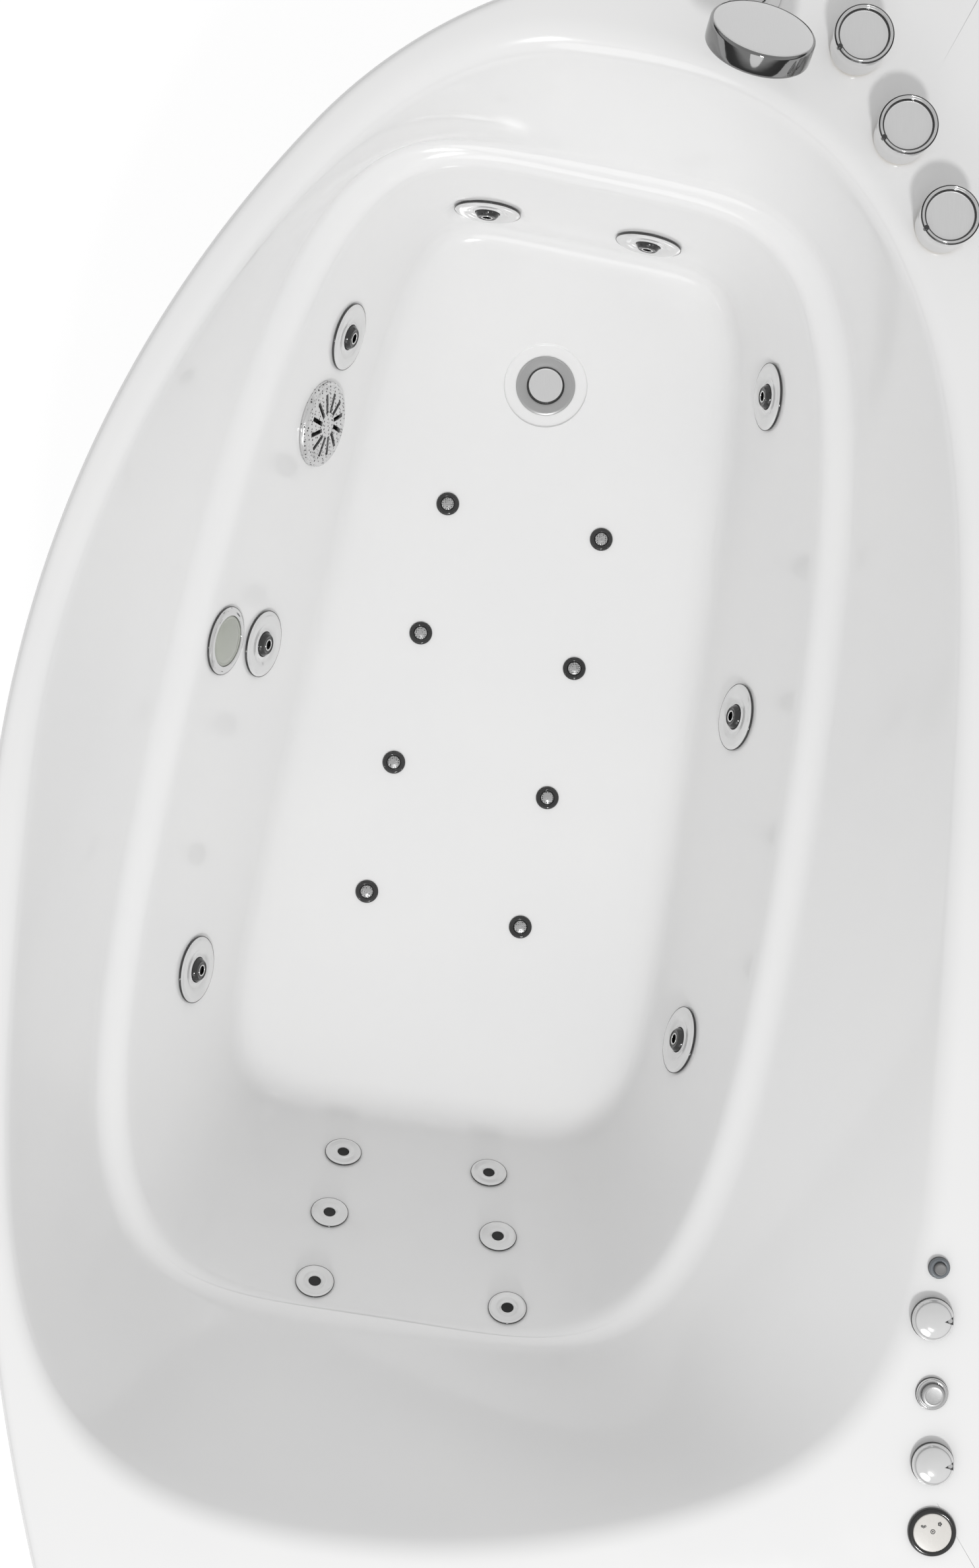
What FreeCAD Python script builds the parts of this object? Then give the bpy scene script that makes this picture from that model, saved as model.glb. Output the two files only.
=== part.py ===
import FreeCAD, Part
import math
import operator
import os
import Sketcher

# Offset jetted bath: a white acrylic shell with a rounded front, a wide head end with a
# sloping backrest and a narrow foot end with the taps. It stands on a steel frame with levelling
# feet, and carries a pump, an air blower, jets, a suction, a waste and its controls.
#
# Frame: +Z up, origin on the floor under the middle of the bath's overall box.
# +X is the head end, +Y is the long side against the wall, -Y is the curved front.

SIZES = [
    # rim and outline
    ("bath_length", 1600, "foot end to head end"),
    ("bath_width", 1000, "wall side to the fullest point of the front"),
    ("rim_height", 580, "floor to the top of the rim"),
    ("skin", 6, "thickness of the laminated acrylic"),
    ("lip_depth", 38, "rolled lip below the rim"),
    ("lip_roll", 11, "radius over the outer edge of the rim"),
    ("corner_roll", 15, "plan radius of the three square corners"),
    ("foot_curve_radius", 500, "front outline, first arc from the foot end"),
    ("foot_curve_turn", 45.6, "angle of that arc"),
    ("middle_curve_radius", 1143, "front outline, second arc"),
    ("middle_curve_turn", 38.3, "angle of that arc"),
    ("head_curve_radius", 2260, "front outline, last arc"),
    # basin, each outline drawn on four corners set in from the bath's four sides
    ("floor_level", 150, "top of the basin floor"),
    ("waist_level", 275, "outline half way up the lower wall"),
    ("ledge_level", 395, "inner edge of the armrest ledge"),
    ("ledge_rise", 9, "fall of the ledge towards the basin"),
    ("shoulder_level", 492, "outline half way up the upper slope"),
    ("shoulder_share", 0.48, "its place between the ledge and the mouth"),
    ("floor_foot_set", 131, "floor, front foot corner from the foot end"),
    ("floor_foot_front_set", 419, "and from the front"),
    ("floor_head_front_reach", 447, "floor, front head corner from the head end"),
    ("floor_head_front_set", 176, "and from the front"),
    ("floor_head_wall_reach", 379, "floor, wall head corner from the head end"),
    ("floor_head_wall_set", 336, "and from the wall side"),
    ("floor_foot_wall_reach", 213, "floor, wall foot corner from the foot end"),
    ("floor_foot_wall_set", 193, "and from the wall side"),
    ("waist_lean", 30, "lower wall, how far the waist stands out at the sides"),
    ("waist_back", 78, "and at the backrest"),
    ("waist_crown", 24, "fullness of the sides at the waist"),
    ("ledge_lean", 64, "lower wall, how far the ledge stands out at the sides"),
    ("ledge_back", 168, "and at the backrest"),
    ("ledge_crown", 36, "fullness of the sides at the ledge"),
    ("ledge_width", 26, "armrest ledge"),
    ("draft", 5, "lean of the foot wall over its whole height"),
    ("floor_power", 7, "squareness of the floor's corners"),
    ("ledge_power", 5, "squareness of the ledge's corners"),
    ("mouth_foot_set", 111, "mouth, front foot corner from the foot end"),
    ("mouth_foot_front_set", 176, "and from the front"),
    ("mouth_head_front_reach", 161, "mouth, front head corner from the head end"),
    ("mouth_head_front_set", 27, "and from the front"),
    ("mouth_head_wall_reach", 180, "mouth, wall head corner from the head end"),
    ("mouth_head_wall_set", 80, "and from the wall side"),
    ("mouth_foot_wall_reach", 188, "mouth, wall foot corner from the foot end"),
    ("mouth_foot_wall_set", 28, "and from the wall side"),
    ("mouth_front_crown", 49, "fullness of the mouth's front"),
    ("mouth_head_crown", 113, "and of its head end"),
    ("mouth_wall_crown", 11, "and of its wall side"),
    ("mouth_foot_crown", 67, "and of its foot end"),
    ("floor_round", 40, "fillet between floor and walls"),
    ("ledge_round", 22, "fillets of the ledge"),
    ("mouth_round", 14, "roll from the rim into the basin"),
    ("mouth_foot_front_power", 1.92, "squareness of the mouth's front foot corner"),
    ("mouth_head_front_power", 6.2, "front head corner"),
    ("mouth_head_wall_power", 6.8, "wall head corner"),
    ("mouth_foot_wall_power", 3.4, "wall foot corner"),
    ("wall_skin", 7.9, "laminate measured square to the leaning lower wall"),
    ("back_skin", 8.6, "laminate measured square to the backrest"),
    ("pad_room", 1.5, "flat pad of a large jet beyond its ring"),
    ("pad_build", 2, "how far the pad stands out behind the wall"),
    # fits
    ("flat_gap", 0.3, "under a piece that seats on a flat face"),
    ("curve_gap", 0.9, "under a flange that seats on a curved wall"),
    ("hole_gap", 0.5, "between a fitting's barrel and its hole in the skin"),
    ("turn_gap", 0.08, "between a turning or sliding piece and its bearing"),
    ("ball_gap", 0.3, "between a nozzle and its socket"),
    # large jets
    ("jet_diameter", 75, "cover ring of a large jet"),
    ("jet_thickness", 4.5, "cover ring"),
    ("nozzle_diameter", 28, "swivelling nozzle"),
    ("nozzle_bore", 10, "its outlet"),
    ("jet_barrel", 40, "barrel through the skin"),
    ("jet_chamber", 52, "chamber behind the wall"),
    ("jet_depth", 62, "wall face to the back of the chamber"),
    ("jet_port", 40, "socket for the water pipe, chamber axis to its end"),
    ("front_jet_height", 270, "front jets above the ground"),
    ("wall_jet_height", 256, "wall side jets"),
    ("foot_jet_height", 230, "foot end jets"),
    ("front_jet_first", -500, "place along the bath"),
    ("front_jet_second", -157, "place along the bath"),
    ("front_jet_third", 207, "place along the bath"),
    ("wall_jet_first", -435, "place along the bath"),
    ("wall_jet_second", -75, "place along the bath"),
    ("wall_jet_third", 288, "place along the bath"),
    ("foot_jet_near", -2, "place across the bath"),
    ("foot_jet_far", 181, "place across the bath"),
    # suction and lamp
    ("suction_diameter", 97, "cover of the suction"),
    ("suction_thickness", 7, "cover of the suction"),
    ("suction_barrel", 54, "barrel through the skin"),
    ("suction_depth", 66, "wall face to the back of the body"),
    ("suction_place", -403, "place along the bath"),
    ("suction_height", 268, "above the ground"),
    ("slot_width", 5, "slots of the suction cover"),
    ("slot_length", 22, "slots of the suction cover"),
    ("slot_count", 12, "slots of the suction cover"),
    ("lamp_diameter", 75, "bezel of the underwater lamp"),
    ("lens_diameter", 56, "its lens"),
    ("lamp_barrel", 44, "barrel through the skin"),
    ("lamp_place", -155, "place along the bath"),
    ("lamp_height", 350, "above the ground"),
    # small jets
    ("back_jet_diameter", 41, "cover of a back jet"),
    ("back_jet_thickness", 3, "cover of a back jet"),
    ("back_jet_bore", 13, "its outlet"),
    ("back_jet_depth", 40, "wall face to the end of its body"),
    ("back_jet_low", 220, "lower row above the ground"),
    ("back_jet_rise", 76, "from row to row"),
    ("back_jet_middle", -84, "middle of the rows across the bath"),
    ("back_jet_spread", 83, "half the spacing of the lower row"),
    ("back_jet_flare", 10, "how much wider each row stands than the one below"),
    ("floor_jet_diameter", 27, "air jet in the floor"),
    ("floor_jet_thickness", 3, "its ring"),
    ("floor_cap_diameter", 17, "its cap"),
    ("floor_jet_barrel", 18, "barrel through the skin"),
    ("floor_jet_pitch", 155, "along a row"),
    ("floor_jet_gauge", 185, "between the two rows"),
    ("floor_jet_stagger", 4, "lead of the wall side row towards the head end"),
    ("floor_jet_start", -329, "first jet of the front row along the bath"),
    ("floor_jet_offset", -49, "first jet of the front row across the bath"),
    ("bath_slant", 11.8, "turn of the basin's axis away from the wall"),
    # waste
    ("drain_place", -468, "along the bath"),
    ("drain_offset", 66, "across the bath"),
    ("drain_recess", 98, "moulded recess round the waste"),
    ("recess_depth", 3, "moulded recess"),
    ("flange_diameter", 70, "waste flange"),
    ("plug_diameter", 42, "waste plug"),
    ("plug_travel", 9, "lift of the plug"),
    ("drain_bore", 36, "throat of the waste"),
    ("waste_diameter", 40, "outlet pipe"),
    ("waste_outlet_height", 46, "outlet axis above the ground"),
    # taps and hand shower
    ("knob_diameter", 57, "tap knob"),
    ("knob_height", 43, "tap knob"),
    ("knob_cup", 4, "depth of its cupped face"),
    ("knob_wall", 4, "wall of its cupped face"),
    ("spindle_diameter", 10, "valve spindle"),
    ("valve_diameter", 32, "valve body under the rim"),
    ("valve_depth", 60, "valve body under the rim"),
    ("hot_knob_place", -712, "along the bath"),
    ("hot_knob_offset", 356, "across the bath"),
    ("diverter_knob_place", -626, "along the bath"),
    ("diverter_knob_offset", 398, "across the bath"),
    ("cold_knob_place", -540, "along the bath"),
    ("cold_knob_offset", 438, "across the bath"),
    ("holder_place", -766, "hand shower holder along the bath"),
    ("holder_offset", 258, "and across the bath"),
    ("holder_diameter", 52, "its ring"),
    ("handle_diameter", 23, "hand shower handle"),
    ("handle_reach", 50, "length of the handle inside the holder"),
    ("shower_diameter", 102, "hand shower head"),
    ("shower_thickness", 23, "hand shower head"),
    ("shower_rise", 85.5, "centre of the head above the rim"),
    ("shower_throw", 74, "head's centre in from the holder"),
    ("shower_tilt", 43, "plane of the head from level"),
    # controls beside the backrest
    ("control_offset", 429, "the row of controls across the bath"),
    ("lamp_button_offset", 436, "lamp button across the bath"),
    ("lamp_button_place", 469, "along the bath"),
    ("first_regulator_place", 518, "along the bath"),
    ("pump_button_place", 591, "along the bath"),
    ("second_regulator_place", 658, "along the bath"),
    ("keypad_place", 725, "along the bath"),
    ("lamp_button_diameter", 20.6, "bezel"),
    ("pump_button_diameter", 31, "bezel"),
    ("button_rim", 4.5, "width of a button's bezel"),
    ("button_height", 6, "bezel above the rim"),
    ("button_travel", 4, "stroke of a button"),
    ("button_depth", 34, "button body under the rim"),
    ("regulator_diameter", 41, "air regulator knob"),
    ("regulator_height", 17, "air regulator knob"),
    ("regulator_depth", 44, "its body under the rim"),
    ("keypad_diameter", 47.5, "keypad ring"),
    ("keypad_height", 5, "keypad ring"),
    ("keypad_depth", 22, "its body under the rim"),
    # frame
    ("tube_size", 25, "square tube"),
    ("tube_wall", 2, "square tube"),
    ("rail_level", 76, "underside of the long rails"),
    ("front_rail_offset", -300, "centre of the front rail"),
    ("wall_rail_offset", 430, "centre of the wall rail"),
    ("rail_end_set", 40, "rail ends in from the bath's ends"),
    ("front_rail_start", -415, "foot end of the front rail"),
    ("foot_cross_place", -600, "cross rail along the bath"),
    ("drain_cross_place", -395, "cross rail along the bath"),
    ("middle_cross_place", -81, "cross rail along the bath"),
    ("head_cross_place", 250, "cross rail along the bath"),
    ("pump_cross_place", 590, "cross rail along the bath"),
    ("end_cross_place", 700, "cross rail along the bath"),
    ("foot_cross_start", -150, "front end of the cross rail at the foot"),
    ("board_thickness", 18, "base board under the basin"),
    ("board_set", 44, "board's edge in from the floor's corners"),
    ("pad_diameter", 50, "levelling foot"),
    ("pad_height", 12, "levelling foot"),
    ("stud_diameter", 12, "levelling foot"),
    ("nut_size", 19, "across flats"),
    ("nut_height", 10, "levelling foot"),
    ("bracket_size", 26, "plate on top of an upright"),
    # front panel
    ("apron_thickness", 4, "front panel"),
    ("apron_bottom", 12, "gap to the ground"),
    ("apron_tuck", 22, "height hidden behind the lip"),
    ("apron_end_set", 34, "panel's ends in from the square corners"),
    # machinery
    ("pump_place", 645, "pump axis along the bath"),
    ("pump_height", 216, "pump axis above the ground"),
    ("pump_start", -60, "joint of wet end and motor across the bath"),
    ("motor_diameter", 150, "pump motor"),
    ("motor_length", 190, "pump motor"),
    ("volute_diameter", 168, "wet end"),
    ("volute_length", 74, "wet end"),
    ("pump_port", 60, "pump sockets"),
    ("tee_height", 128, "pump axis to the axis of its tee"),
    ("suction_pipe", 50, "outer diameter"),
    ("water_pipe", 40, "outer diameter"),
    ("air_pipe", 20, "outer diameter"),
    ("air_pipe_level", 86, "air pipes under the floor"),
    ("bend_radius", 62, "centre line of the pipe bends"),
    ("blower_diameter", 138, "air blower"),
    ("blower_height", 150, "air blower"),
    ("blower_place", 645, "along the bath"),
    ("blower_offset", 330, "across the bath"),
    ("box_depth", 50, "control box"),
    ("box_width", 160, "control box"),
    ("box_height", 120, "control box"),
    ("box_level", 330, "underside of the control box"),
    # smaller sizes of the fittings
    ("jet_wall", 3, "wall of the moulded bodies behind the skin"),
    ("collar", 8, "clamping collar behind the skin"),
    ("nozzle_tip", 7, "nozzle, fullest circle to its tip"),
    ("nozzle_tail", 8, "nozzle, fullest circle to its tail"),
    ("nozzle_taper", 3, "nozzle, how much smaller its ends are"),
    ("back_jet_barrel", 20, "barrel through the skin"),
    ("lamp_depth", 24, "lamp housing behind the wall"),
    ("slot_start", 14, "slots of the suction cover from its middle"),
    ("drain_wall", 3, "throat of the waste"),
    ("flange_dish", 1, "edge of the waste flange above the recess"),
    ("flange_reach", 30, "throat of the waste below the floor"),
    ("plug_stem", 8, "plug stem"),
    ("plug_thickness", 3, "plug disc"),
    ("plug_rest", 1.6, "underside of the plug disc above the recess"),
    ("trap_diameter", 90, "trap"),
    ("trap_wall", 3, "trap"),
    ("trap_neck", 20, "trap"),
    ("trap_bottom", 18, "trap above the ground"),
    ("outlet_reach", 110, "waste axis to the end of its outlet"),
    ("outlet_collar", 56, "waste axis to the end of the collar round the outlet"),
    ("valve_flange", 2, "flange under a knob"),
    ("pin_diameter", 6, "pin on a tap knob"),
    ("pin_angle", 210, "its place round the knob"),
    ("sleeve_diameter", 30, "hand shower sleeve"),
    ("holder_rise", 6, "holder ring above the rim"),
    ("handle_bend", 22, "centre line of the handle's bend"),
    ("shower_edge", 3, "rounding of the head"),
    ("shower_turn", -5, "turn of the hand shower towards the basin"),
    ("button_step", 5, "how much narrower a button's barrel is than its bezel"),
    ("button_crown", 1.5, "crown of a button"),
    ("regulator_barrel", 26, "barrel through the rim"),
    ("keypad_barrel", 12, "cable boss through the rim"),
    ("keypad_rim", 5, "width of the keypad ring"),
    ("board_room", 6, "round the fittings that pass the base board"),
    ("foot_set", 60, "levelling feet in from the rail ends"),
    ("bracket_thickness", 4, "plates of the frame"),
    ("corner_pipe_place", -590, "water pipe round the foot corner, along the bath"),
    ("corner_pipe_offset", 395, "and across the bath"),
    ("corner_pipe_cut", 80, "second bend of that pipe"),
    ("riser_place", 460, "water pipes beside the backrest, along the bath"),
    ("front_riser_offset", -432, "and across the bath, front"),
    ("wall_riser_offset", 330, "and across the bath, wall side"),
    ("bypass_depth", 60, "water pipe over the suction, from the wall face"),
    ("bypass_rise", 77, "its level above that depth"),
    ("bypass_start", 15, "its first bend before the suction"),
    ("bypass_end", 50, "its second bend past the suction"),
    ("water_wall", 3, "wall of the water pipes"),
    ("air_wall", 2, "wall of the air pipes"),
    ("suction_pipe_level", 152, "suction pipe above the ground"),
    ("suction_bend", 55, "centre line of its bends"),
    ("suction_pipe_turn", 330, "its bend along the bath"),
    ("suction_pipe_offset", -425, "and across the bath"),
    ("air_pipe_end", 30, "air pipes past the last jet of a row"),
    ("air_drop_place", 470, "air pipe down from the blower, along the bath"),
    ("air_drop_run", 120, "and its slope towards the front"),
    ("outlet_stub", 25, "blower outlet"),
    ("box_lid", 6, "lid of the control box"),
    ("gland_diameter", 18, "cable gland"),
    ("gland_length", 16, "cable gland"),
]


# ---------------------------------------------------------------- sheet and expressions

os.makedirs("parts", exist_ok=True)
doc = FreeCAD.newDocument("jetted_bath")
sheet = doc.addObject("Spreadsheet::Sheet", "Sizes")
for row, (alias, number, note) in enumerate(SIZES, start=1):
    sheet.set(f"A{row}", note)
    sheet.set(f"B{row}", str(number))
    sheet.setAlias(f"B{row}", alias)
doc.recompute()


class Size:
    """A number from the sheet together with the expression that gives it."""

    def __init__(self, value, text):
        self.value = value
        self.text = text

    def joined(self, other, sign, work, swapped=False):
        other = other if isinstance(other, Size) else Size(float(other), repr(other))
        left, right = (other, self) if swapped else (self, other)
        return Size(work(left.value, right.value), f"({left.text} {sign} {right.text})")

    def __add__(self, other):
        return self.joined(other, "+", operator.add)

    def __radd__(self, other):
        return self.joined(other, "+", operator.add, True)

    def __sub__(self, other):
        return self.joined(other, "-", operator.sub)

    def __rsub__(self, other):
        return self.joined(other, "-", operator.sub, True)

    def __mul__(self, other):
        return self.joined(other, "*", operator.mul)

    def __rmul__(self, other):
        return self.joined(other, "*", operator.mul, True)

    def __truediv__(self, other):
        return self.joined(other, "/", operator.truediv)

    def __neg__(self):
        return self.joined(-1, "*", operator.mul)

    def __float__(self):
        return self.value


class SheetSizes:
    """Reads a named cell of the sheet as a Size."""

    def __getattr__(self, alias):
        return Size(float(sheet.get(alias)), f"Sizes.{alias}")


size = SheetSizes()


def vector(x, y, z=0.0):
    return FreeCAD.Vector(float(x), float(y), float(z))


# ---------------------------------------------------------------- ways of making a piece

subparts = []


def keep(piece, label):
    """Names a finished sub-part and puts it on the list of files to write."""
    piece.Label = label
    subparts.append(piece)
    return piece


def bind(thing, name, amount):
    """Ties a property to the sheet, or sets it where the amount is a plain number."""
    if isinstance(amount, Size):
        thing.setExpression(name, amount.text)
    else:
        setattr(thing, name, amount)


def origin_plane(body, role):
    return next(f for f in body.Origin.OriginFeatures if f.Role == role)


def outline_sketch(body, corners, plane):
    """A closed outline of straight lines on one of the body's own planes."""
    sketch = body.newObject("Sketcher::SketchObject", "outline")
    sketch.AttachmentSupport = (origin_plane(body, plane), [""])
    sketch.MapMode = "FlatFace"
    draw_outline(sketch, corners)
    return sketch


def draw_outline(sketch, corners):
    """Straight lines from corner to corner, with every corner tied to the sheet."""
    count = len(corners)
    for k in range(count):
        start, end = corners[k], corners[(k + 1) % count]
        sketch.addGeometry(Part.LineSegment(vector(*start), vector(*end)), False)
    for k in range(count):
        sketch.addConstraint(Sketcher.Constraint("Coincident", k, 2, (k + 1) % count, 1))
    for k, (across, along) in enumerate(corners):
        for kind, axis, amount in (("DistanceX", -2, across), ("DistanceY", -1, along)):
            if isinstance(amount, Size) and amount.value != 0:
                place = sketch.addConstraint(Sketcher.Constraint(kind, -1, 1, k, 1, amount.value))
                sketch.setExpression(f"Constraints[{place}]", amount.text)
            else:
                sketch.addConstraint(Sketcher.Constraint("PointOnObject", k, 1, axis))


def turned(label, corners):
    """A piece turned about its own Z axis from corners of (radius, height)."""
    body = doc.addObject("PartDesign::Body", label)
    turn = body.newObject("PartDesign::Revolution", "turn")
    turn.Profile = outline_sketch(body, corners, "XZ_Plane")
    turn.ReferenceAxis = (turn.Profile[0], ["V_Axis"])
    turn.Angle = 360
    body.Tip = turn
    return body


def box(length, width, height, corner):
    """A Part box whose sizes and corner are tied to the sheet."""
    solid = doc.addObject("Part::Box", "block")
    for name, amount in (("Length", length), ("Width", width), ("Height", height)):
        bind(solid, name, amount)
    for axis, amount in zip("xyz", corner):
        bind_place(solid, axis, amount)
    return solid


def rod(radius, height, foot, turn=None):
    """A Part cylinder standing on its foot, upright unless it is turned."""
    solid = doc.addObject("Part::Cylinder", "rod")
    bind(solid, "Radius", radius)
    bind(solid, "Height", height)
    if turn is not None:
        solid.Placement = FreeCAD.Placement(FreeCAD.Vector(), turn)
    for axis, amount in zip("xyz", foot):
        bind_place(solid, axis, amount)
    return solid


def bind_place(solid, axis, amount):
    amount = amount if isinstance(amount, Size) else Size(float(amount), repr(float(amount)))
    solid.setExpression(f"Placement.Base.{axis}", amount.text)


def fused(label, pieces):
    joint = doc.addObject("Part::MultiFuse", label)
    joint.Shapes = pieces
    return joint


def carved(label, base, tools):
    """A base with several tools cut from it."""
    tool = tools[0] if len(tools) == 1 else fused(label + "_tools", tools)
    cut = doc.addObject("Part::Cut", label)
    cut.Base = base
    cut.Tool = tool
    return cut


def shaped(label, shape):
    """A sub-part whose form is worked out in code."""
    piece = doc.addObject("Part::Feature", label)
    piece.Shape = shape
    return piece


def copies(label, master, seats):
    """One sub-part made of a master piece repeated at each seat."""
    solids = []
    for seat in seats:
        solid = master.Shape.Solids[0].copy()
        solid.Placement = seat.multiply(solid.Placement)
        solids.append(solid)
    return shaped(label, Part.makeCompound(solids))


def placed(piece, seat):
    piece.Placement = seat
    return piece


def upright(x, y, z):
    return FreeCAD.Placement(vector(x, y, z), FreeCAD.Rotation())


def cylinder(radius, height, start, direction):
    return Part.makeCylinder(float(radius), float(height), start, direction)


def pipe(points, radius, bend, wall=0.0):
    """A round bar, or with a wall a tube, along straight runs joined by tangent bends."""
    edges = []
    start = points[0]
    for before, corner, after in zip(points, points[1:], points[2:]):
        inward = (before - corner).normalize()
        onward = (after - corner).normalize()
        half_turn = (math.pi - inward.getAngle(onward)) / 2
        reach = bend * math.tan(half_turn)
        entry, leave = corner + inward * reach, corner + onward * reach
        middle = (inward + onward).normalize()
        top = corner + middle * (bend / math.cos(half_turn) - bend)
        edges.append(Part.makeLine(start, entry))
        edges.append(Part.Arc(entry, top, leave).toShape())
        start = leave
    edges.append(Part.makeLine(start, points[-1]))
    line = Part.Wire(edges)

    def swept(amount):
        ring = Part.Wire([Part.makeCircle(amount, points[0], points[1] - points[0])])
        return line.makePipeShell([ring], True, False)

    return swept(radius).cut(swept(radius - wall)) if wall else swept(radius)


# ---------------------------------------------------------------- outline of the rim

def rim_outline(inset):
    """The plan of the bath moved in by an inset: three square sides and three front arcs."""
    length, width = float(size.bath_length), float(size.bath_width)
    radii = [float(size.foot_curve_radius), float(size.middle_curve_radius),
             float(size.head_curve_radius)]
    first_turn = math.radians(float(size.foot_curve_turn))
    second_turn = first_turn + math.radians(float(size.middle_curve_turn))
    foot, head, wall = inset - length / 2, length / 2 - inset, width / 2 - inset
    # the last arc just touches the front of the bath's box, and the others follow from it
    shift = [(radii[1] - radii[0], first_turn), (radii[2] - radii[1], second_turn)]
    centre_y = radii[2] - width / 2 - sum(step * math.sin(turn) for step, turn in shift)
    centres = [vector(radii[0] - length / 2, centre_y)]
    for step, turn in shift:
        centres.append(centres[-1] + vector(step * math.cos(turn), step * math.sin(turn)))
    last_turn = math.pi - math.acos((head - centres[2].x) / (radii[2] - inset))
    turns = [0.0, first_turn, second_turn, last_turn]

    def on_arc(k, turn):
        return centres[k] - vector(math.cos(turn), math.sin(turn)) * (radii[k] - inset)

    arcs = []
    for k in range(3):
        middle = (turns[k] + turns[k + 1]) / 2
        arcs.append(Part.Arc(on_arc(k, turns[k]), on_arc(k, middle), on_arc(k, turns[k + 1])))
    front = [arc.toShape() for arc in arcs]
    foot_corner, head_corner = vector(foot, wall), vector(head, wall)
    sides = [
        Part.makeLine(on_arc(2, last_turn), head_corner),
        Part.makeLine(head_corner, foot_corner),
        Part.makeLine(foot_corner, on_arc(0, 0.0)),
    ]
    return front, sides


def rim_block(inset, bottom, top):
    """The plan of the bath as a solid between two heights, with its corners rounded."""
    front, sides = rim_outline(inset)
    plate = Part.Face(Part.Wire(Part.__sortEdges__(front + sides)))
    block = plate.extrude(vector(0, 0, top - bottom))
    block.translate(vector(0, 0, bottom))
    corners = [edge for edge in block.Edges if is_square_corner(edge, top - bottom)]
    return block.makeFillet(float(size.corner_roll) - inset * CORNER_SHARE, corners)


CORNER_SHARE = 0.8   # how much of an inset comes off the corner radius


def is_square_corner(edge, height):
    """True for the upright edges where two sides meet at an angle."""
    ends = edge.BoundBox
    if ends.ZLength < height * 0.99:
        return False
    return ends.XMin > float(size.bath_length) / 3 or ends.YMin > float(size.bath_width) / 3


# ---------------------------------------------------------------- basin

class Ring:
    """A level outline of the basin: a squared circle stretched over four corners.

    corners and crowns run front foot, front head, wall head, wall foot, and front, head,
    wall, foot. A crown is how far the middle of a side stands out from its corners.
    """

    def __init__(self, level, corners, crowns, powers):
        self.level = level
        self.corners = corners
        self.crowns = crowns
        self.powers = powers

    def point(self, angle):
        cosine, sine = math.cos(angle), math.sin(angle)
        quarter = (0 if cosine < 0 else 1) if sine < 0 else (2 if cosine >= 0 else 3)
        power = self.powers[quarter]
        reach = (abs(cosine) ** power + abs(sine) ** power) ** (-1 / power)
        u, v = cosine * reach, sine * reach
        weights = [(1 - u) * (1 - v), (1 + u) * (1 - v), (1 + u) * (1 + v), (1 - u) * (1 + v)]
        x = sum(w * corner[0] for w, corner in zip(weights, self.corners)) / 4
        y = sum(w * corner[1] for w, corner in zip(weights, self.corners)) / 4
        front, head, wall, foot = self.crowns
        x += (1 - v * v) * ((1 + u) * head - (1 - u) * foot) / 2
        y += (1 - u * u) * ((1 + v) * wall - (1 - v) * front) / 2
        return x, y

    def wire(self, outset, drop, count=48, step=1e-3):
        """The outline as one smooth closed curve, moved out and down."""
        points = []
        for k in range(count):
            angle = 2 * math.pi * (k + 0.5) / count
            x, y = self.point(angle)
            before, after = self.point(angle - step), self.point(angle + step)
            run_x, run_y = after[0] - before[0], after[1] - before[1]
            run = math.hypot(run_x, run_y)
            points.append(vector(x + outset * run_y / run, y - outset * run_x / run,
                                 self.level - drop))
        curve = Part.BSplineCurve()
        knots = [float(k) for k in range(count + 1)]
        curve.interpolate(Points=points, PeriodicFlag=True, Parameters=knots)
        return Part.Wire([curve.toShape()])

    def moved(self, level, side, back, foot, crown, power):
        """A larger ring above this one, pushed out by an amount on each side."""
        slant = math.radians(float(size.bath_slant))
        along = (math.cos(slant), -math.sin(slant))
        across = (math.sin(slant), math.cos(slant))
        pushes = [(-foot, -side), (back, -side), (back, side), (-foot, side)]
        corners = []
        for (x, y), (run, lean) in zip(self.corners, pushes):
            corners.append((x + run * along[0] + lean * across[0],
                            y + run * along[1] + lean * across[1]))
        crowns = [old + new for old, new in zip(self.crowns, (crown, crown / 3, crown, 0))]
        return Ring(level, corners, crowns, [power] * 4)


class RingBetween(Ring):
    """An outline part of the way from one ring to another one above it."""

    def __init__(self, inner, outer, share, level):
        self.inner = inner
        self.outer = outer
        self.share = share
        self.level = level

    def point(self, angle):
        near, far = self.inner.point(angle), self.outer.point(angle)
        return tuple(a + (b - a) * self.share for a, b in zip(near, far))


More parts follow.
